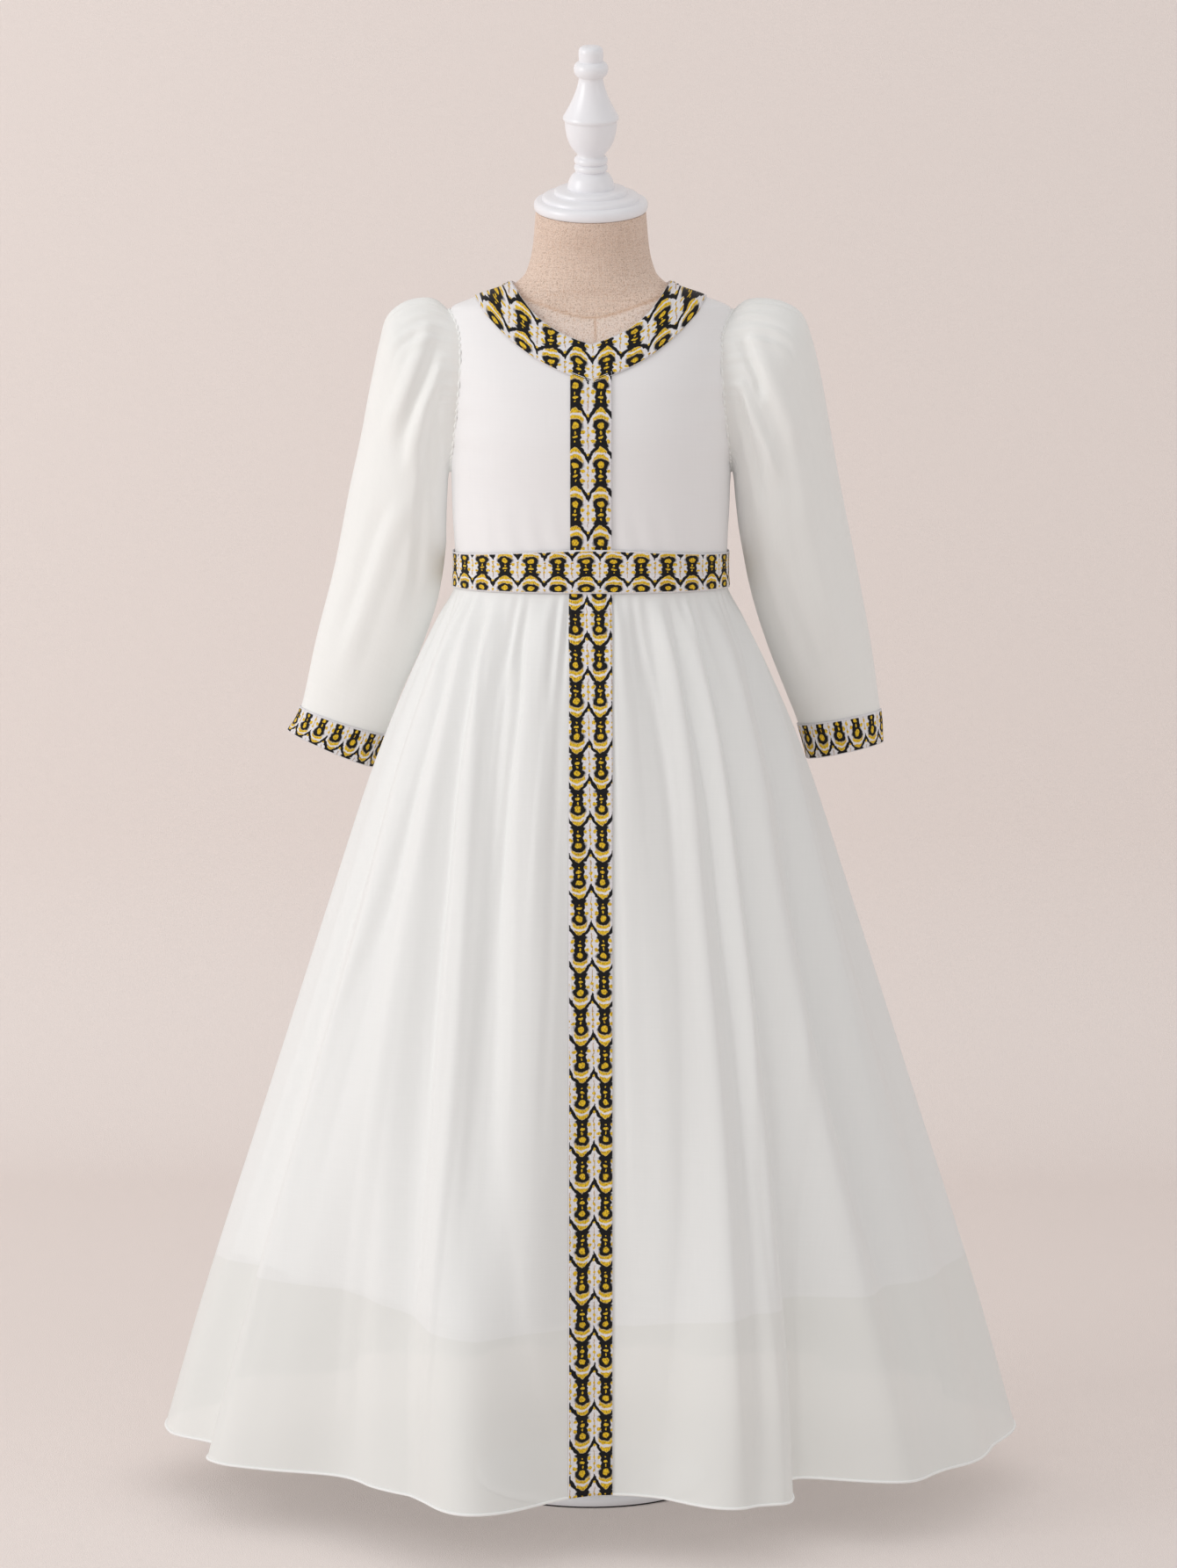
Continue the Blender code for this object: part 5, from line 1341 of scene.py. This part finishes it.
LEFT_SLEEVE = (
    (0.1300, 1.0045, 0.1195, 0.8570, 0.000, 0.0445),
    (0.1450, 1.0060, 0.1203, 0.8480, 0.001, 0.0490),
    (0.1620, 1.0030, 0.1212, 0.8385, 0.002, 0.0520),
    (0.1764, 0.9935, 0.1224, 0.8280, 0.003, 0.0530),
    (0.1850, 0.9720, 0.1240, 0.8150, 0.004, 0.0530),
    (0.1928, 0.9400, 0.1270, 0.7985, 0.006, 0.0520),
    (0.2022, 0.8895, 0.1325, 0.7705, 0.010, 0.0490),
    (0.2108, 0.8451, 0.1404, 0.7414, 0.016, 0.0450),
    (0.2243, 0.7820, 0.1520, 0.7080, 0.025, 0.0395),
    (0.2365, 0.7205, 0.1660, 0.6730, 0.036, 0.0335),
    (0.2461, 0.6587, 0.1765, 0.6464, 0.046, 0.0270),
    (0.2481, 0.6304, 0.1850, 0.6165, 0.049, 0.0260),
)
# Each crease: its height, its half-width on either side, whether it lies on the front (1) or on the
# back (-1), and its line in (distance from the middle of the dress, height).
RIGHT_CREASES = (
    (0.0038, 0.013, 0.011, 1,
     ((0.1300, 0.992), (0.1372, 0.974), (0.1497, 0.940), (0.1622, 0.912), (0.1703, 0.885))),
    (0.0030, 0.011, 0.009, 1,
     ((0.1205, 0.963), (0.1279, 0.940), (0.1374, 0.918), (0.1450, 0.890), (0.1490, 0.860))),
    (-0.0026, 0.008, 0.010, 1,
     ((0.1250, 0.975), (0.1330, 0.950), (0.1450, 0.922), (0.1560, 0.895), (0.1600, 0.860))),
    (0.0020, 0.012, 0.012, 1, ((0.1560, 0.990), (0.1714, 0.962), (0.1810, 0.930), (0.1870, 0.890))),
    (-0.0026, 0.010, 0.010, 1,
     ((0.1230, 0.940), (0.1295, 0.905), (0.1392, 0.834), (0.1450, 0.771), (0.1600, 0.720))),
    (0.0026, 0.016, 0.014, 1,
     ((0.1500, 0.850), (0.1693, 0.806), (0.1849, 0.762), (0.2042, 0.708), (0.2180, 0.672))),
    (-0.0018, 0.012, 0.012, 1, ((0.1720, 0.840), (0.1880, 0.790), (0.2030, 0.745), (0.2150, 0.715))),
    (0.0026, 0.010, 0.010, -1, ((0.1300, 0.990), (0.1420, 0.955), (0.1560, 0.910), (0.1640, 0.870))),
    (-0.0026, 0.009, 0.009, -1, ((0.1250, 0.955), (0.1370, 0.915), (0.1480, 0.860), (0.1560, 0.800))),
    (0.0024, 0.014, 0.014, -1, ((0.1460, 0.850), (0.1640, 0.790), (0.1850, 0.735), (0.2070, 0.685))),
    (0.0018, 0.012, 0.012, -1, ((0.1600, 0.985), (0.1740, 0.950), (0.1830, 0.900))),
)
LEFT_CREASES = (
    (-0.0046, 0.006, 0.008, 1, ((0.1225, 0.980), (0.1290, 0.960), (0.1370, 0.942), (0.1430, 0.920))),
    (0.0028, 0.012, 0.014, 1,
     ((0.1290, 0.988), (0.1380, 0.966), (0.1464, 0.943), (0.1655, 0.906), (0.1752, 0.868))),
    (-0.0040, 0.007, 0.007, 1, ((0.1215, 0.938), (0.1275, 0.905), (0.1370, 0.870), (0.1440, 0.830))),
    (0.0044, 0.008, 0.008, 1, ((0.1188, 0.950), (0.1312, 0.918), (0.1467, 0.881), (0.1560, 0.850))),
    (-0.0016, 0.010, 0.010, 1, ((0.1400, 0.930), (0.1560, 0.895), (0.1660, 0.860), (0.1720, 0.820))),
    (0.0024, 0.016, 0.014, 1, ((0.1640, 0.890), (0.1813, 0.818), (0.1941, 0.755), (0.2135, 0.693))),
    (-0.0020, 0.014, 0.010, 1,
     ((0.1586, 0.985), (0.1700, 0.940), (0.1935, 0.850), (0.2130, 0.771), (0.2326, 0.693))),
    (-0.0018, 0.012, 0.012, 1, ((0.1500, 0.800), (0.1640, 0.755), (0.1800, 0.715), (0.1930, 0.680))),
    (0.0026, 0.010, 0.010, -1, ((0.1300, 0.988), (0.1440, 0.950), (0.1580, 0.905), (0.1660, 0.860))),
    (-0.0026, 0.009, 0.009, -1, ((0.1250, 0.950), (0.1390, 0.905), (0.1500, 0.850), (0.1590, 0.790))),
    (0.0024, 0.014, 0.014, -1, ((0.1480, 0.845), (0.1680, 0.785), (0.1900, 0.730), (0.2100, 0.680))),
    (0.0018, 0.012, 0.012, -1, ((0.1620, 0.985), (0.1780, 0.945), (0.1870, 0.895))),
)
# The flat sleeve: its width for each radian round it, at the armhole and at the wrist, and its length
SLEEVE_FLAT_RADII = (0.055, 0.032)
SLEEVE_FLAT_LENGTH = 0.42
CUFF_WIDTH = 0.0285
CUFF_OUT = 0.0013
SLEEVE_COVER = 0.90
# Painted light: the sleeves' chiffon is a brighter white than the skirt's, for light that passes through the
# thin sleeves; the armhole seam shares it
SLEEVE_WHITE_PAINTED_LIGHT = (0.945, 0.950, 0.930)


def sleeve_rings(sections, side, turns):
    """Control points of each ring: two round the armhole, then one for each section."""
    angle, height = armhole_points(turns, 0.0003)
    rings = [on_form(side * angle, height, np.full_like(height, out)) for out in (0.0008, 0.0030)]
    for outer_x, outer_z, inner_x, inner_z, behind, half_depth in sections:
        outer = np.array([outer_x, behind, outer_z])
        inner = np.array([inner_x, behind, inner_z])
        middle, across = (outer + inner) / 2, (outer - inner) / 2
        turn = np.radians(turns)[:, None]
        rings.append(middle + across * np.cos(turn) + np.array([0.0, -half_depth, 0.0]) * np.sin(turn))
    return np.array(rings)


def along_rings(rings, places):
    """Points on smooth curves through the rings, at places counted in rings."""
    last = len(rings) - 1
    index = np.clip(np.floor(places).astype(int), 0, last - 1)
    f = (places - index)[:, None, None]
    p0, p1 = rings[np.maximum(index - 1, 0)], rings[index]
    p2, p3 = rings[index + 1], rings[np.minimum(index + 2, last)]
    square, cube = 2 * p0 - 5 * p1 + 4 * p2 - p3, 3 * p1 - p0 - 3 * p2 + p3
    return 0.5 * (2 * p1 + (p2 - p0) * f + square * f**2 + cube * f**3)


def beside_line(across, height, line):
    """For each place, how far it lies from a line of points, how far of that to the side, and how far down
    the line in shares."""
    steps = [np.hypot(b[0] - a[0], b[1] - a[1]) for a, b in zip(line, line[1:])]
    total, walked = sum(steps), 0.0
    nearest = np.full(across.shape, 1e3)
    side = np.zeros_like(nearest)
    share = np.zeros_like(nearest)
    for (a, b), length in zip(zip(line, line[1:]), steps):
        ahead = np.array([b[0] - a[0], b[1] - a[1]]) / length
        run = np.clip((across - a[0]) * ahead[0] + (height - a[1]) * ahead[1], 0.0, length)
        off_across, off_height = across - a[0] - run * ahead[0], height - a[1] - run * ahead[1]
        distance = np.hypot(off_across, off_height)
        closer = distance < nearest
        nearest = np.where(closer, distance, nearest)
        side = np.where(closer, off_across, side)
        share = np.where(closer, (walked + run) / total, share)
        walked += length
    return nearest, side, share


def sleeve_creases(creases, surface, normals, turns, places):
    """Height of the main creases, of the small gathers at the head and of the puckers at the seam."""
    along = np.maximum(places - 2.0, 0.0)[:, None]
    growth = np.zeros(surface.shape[:2])
    for tall, inner_width, outer_width, facing, line in creases:
        distance, side, share = beside_line(np.abs(surface[..., 0]), surface[..., 2], line)
        width = np.where(side < 0, inner_width, outer_width)
        alive = ease(0.0, 0.16, share) * (1 - ease(0.70, 1.0, share))
        on_this_side = ease(-0.10, 0.35, -facing * normals[..., 1])
        growth = growth + tall * rounded(distance / width) * alive * on_this_side
    upper = np.radians(shortest_turn(turns[None, :]))
    gathers = np.sin(upper * SLEEVE_GATHERS + 1.9 * np.sin(upper * 3.0 + 0.4) + 0.8 * np.sin(upper * 7.0))
    reach = 1 - ease(38.0, 78.0, np.abs(np.degrees(upper)))
    onset = ease(0.8, 2.4, places)[:, None]
    tail = 1 - ease(0.6 + 0.5 * np.sin(upper * 9.0), 3.2 + 0.9 * np.sin(upper * 9.0), along)
    puckers = np.sin(upper * ARMHOLE_PUCKERS + 3.0 * np.sin(upper * 7.0))
    puckers = puckers * (0.5 + 0.5 * np.sin(upper * 5.0 + 1.0))
    at_seam = (ease(0.4, 1.3, places) * (1 - ease(1.6, 2.9, places)))[:, None]
    growth = growth * onset + SLEEVE_GATHER_HEIGHT * gathers * reach * onset * tail
    return growth + PUCKER_HEIGHT * puckers * at_seam


def sleeve_surface(sections, creases, side, turns, places):
    """Points of the creased sleeve and its outward normals."""
    rings = sleeve_rings(sections, side, turns)
    surface = along_rings(rings, places)
    round_step = np.roll(surface, -1, axis=1) - np.roll(surface, 1, axis=1)
    along_step = np.gradient(surface, axis=0)
    normals = np.cross(round_step, along_step)
    normals /= np.linalg.norm(normals, axis=-1, keepdims=True) + 1e-12
    outward = surface - surface.mean(axis=1, keepdims=True)
    normals *= np.sign((normals * outward).sum(axis=-1, keepdims=True))
    return surface + normals * sleeve_creases(creases, surface, normals, turns, places)[..., None], normals


def make_armhole_seam(name, side):
    """The armhole seam: a thin raised ridge that the gathered sleeve puckers."""
    turns = np.linspace(0.0, 360.0, 360, endpoint=False)
    pucker = np.sin(np.radians(turns) * ARMHOLE_PUCKERS + 2.0 * np.sin(np.radians(turns) * 7.0))
    angle, height = armhole_points(turns, 0.0002 - 0.0004 * pucker)
    line = on_form(side * angle, height, 0.0021 + 0.0004 * pucker)
    ahead = np.roll(line, -1, axis=0) - np.roll(line, 1, axis=0)
    points = tube_points(line, ahead, (1.0, 0.0, 0.0), (0.0010 + 0.0002 * pucker)[:, None, None])
    faces = grid_faces(len(turns) + 1, TUBE_SIDES, closed=True) % (TUBE_SIDES * len(turns))
    return make_piece(name, points, faces, seam_white, [])


def tube_faces(rows, side):
    """Faces of a sleeve or cuff, which run the other way round on the wearer's right."""
    faces = grid_faces(rows, SLEEVE_COLUMNS, closed=True)
    return faces[:, ::-1] if side < 0 else faces


def make_sleeve(name, sections, creases, side):
    last_ring = len(sections) + 1
    places = np.concatenate([np.linspace(0.0, 2.0, 14), np.linspace(2.0, last_ring, 170)[1:]])
    points, _ = sleeve_surface(sections, creases, side, sleeve_turns, places)
    rows = len(places)
    flat_turn = np.radians(sleeve_turns)[None, :] * np.linspace(*SLEEVE_FLAT_RADII, rows)[:, None]
    flat_along = np.linspace(0.0, SLEEVE_FLAT_LENGTH, rows)[:, None] + 0.0 * flat_turn
    flat_places = np.stack([flat_turn, flat_along], axis=-1)
    return make_piece(
        name + "_chiffon", points, tube_faces(rows, side), sleeve_chiffon, [name], flat_places
    )


def make_cuff(suffix, sections, creases, side):
    """The band of ribbon over the last stretch of the sleeve."""
    last_ring = len(sections) + 1
    places = np.linspace(last_ring - 1.0, last_ring, 17)
    points, normals = sleeve_surface(sections, creases, side, sleeve_turns, places)
    points = points + normals * CUFF_OUT
    girth = lengths_along(points[len(places) // 2])[None, :]
    t = np.linspace(0.0, 1.0, len(places))[:, None]
    flat_places = np.stack([girth + 0.0 * t, CUFF_WIDTH * (1 - t) + 0.0 * girth], axis=-1)
    edges = np.minimum(t, 1 - t) * CUFF_WIDTH + 0.0 * girth
    material = ribbon_material(
        f"cuff ribbon {suffix}", pitches=(0.0150, 0.0300), start=(0.0, 0.0028), selvedge=0.0010,
        point_down=True,
    )
    name = "cuff_" + suffix
    return make_ribbon(
        name + "_ribbon", points, material, name, flat_places, edges, tube_faces(len(places), side)
    )


seam_white = stitched_edge_material("armhole seam", SLEEVE_WHITE_PAINTED_LIGHT, 0.86, 450.0, 0.85, Sheen_Weight=0.2)
# Painted light: the sleeves use the brighter white that stands in for light passing through them
sleeve_chiffon = chiffon_material("sleeve chiffon", SLEEVE_WHITE_PAINTED_LIGHT, SLEEVE_COVER)
sleeve_turns = np.linspace(0.0, 360.0, SLEEVE_COLUMNS, endpoint=False)
for suffix, sections, creases, side, bodice_back in (
    ("right", RIGHT_SLEEVE, RIGHT_CREASES, -1, bodice_back_right),
    ("left", LEFT_SLEEVE, LEFT_CREASES, 1, bodice_back_left),
):
    sleeve = make_sleeve("sleeve_" + suffix, sections, creases, side)
    seam = make_armhole_seam("armhole_seam_" + suffix, side)
    cuff = make_cuff(suffix, sections, creases, side)
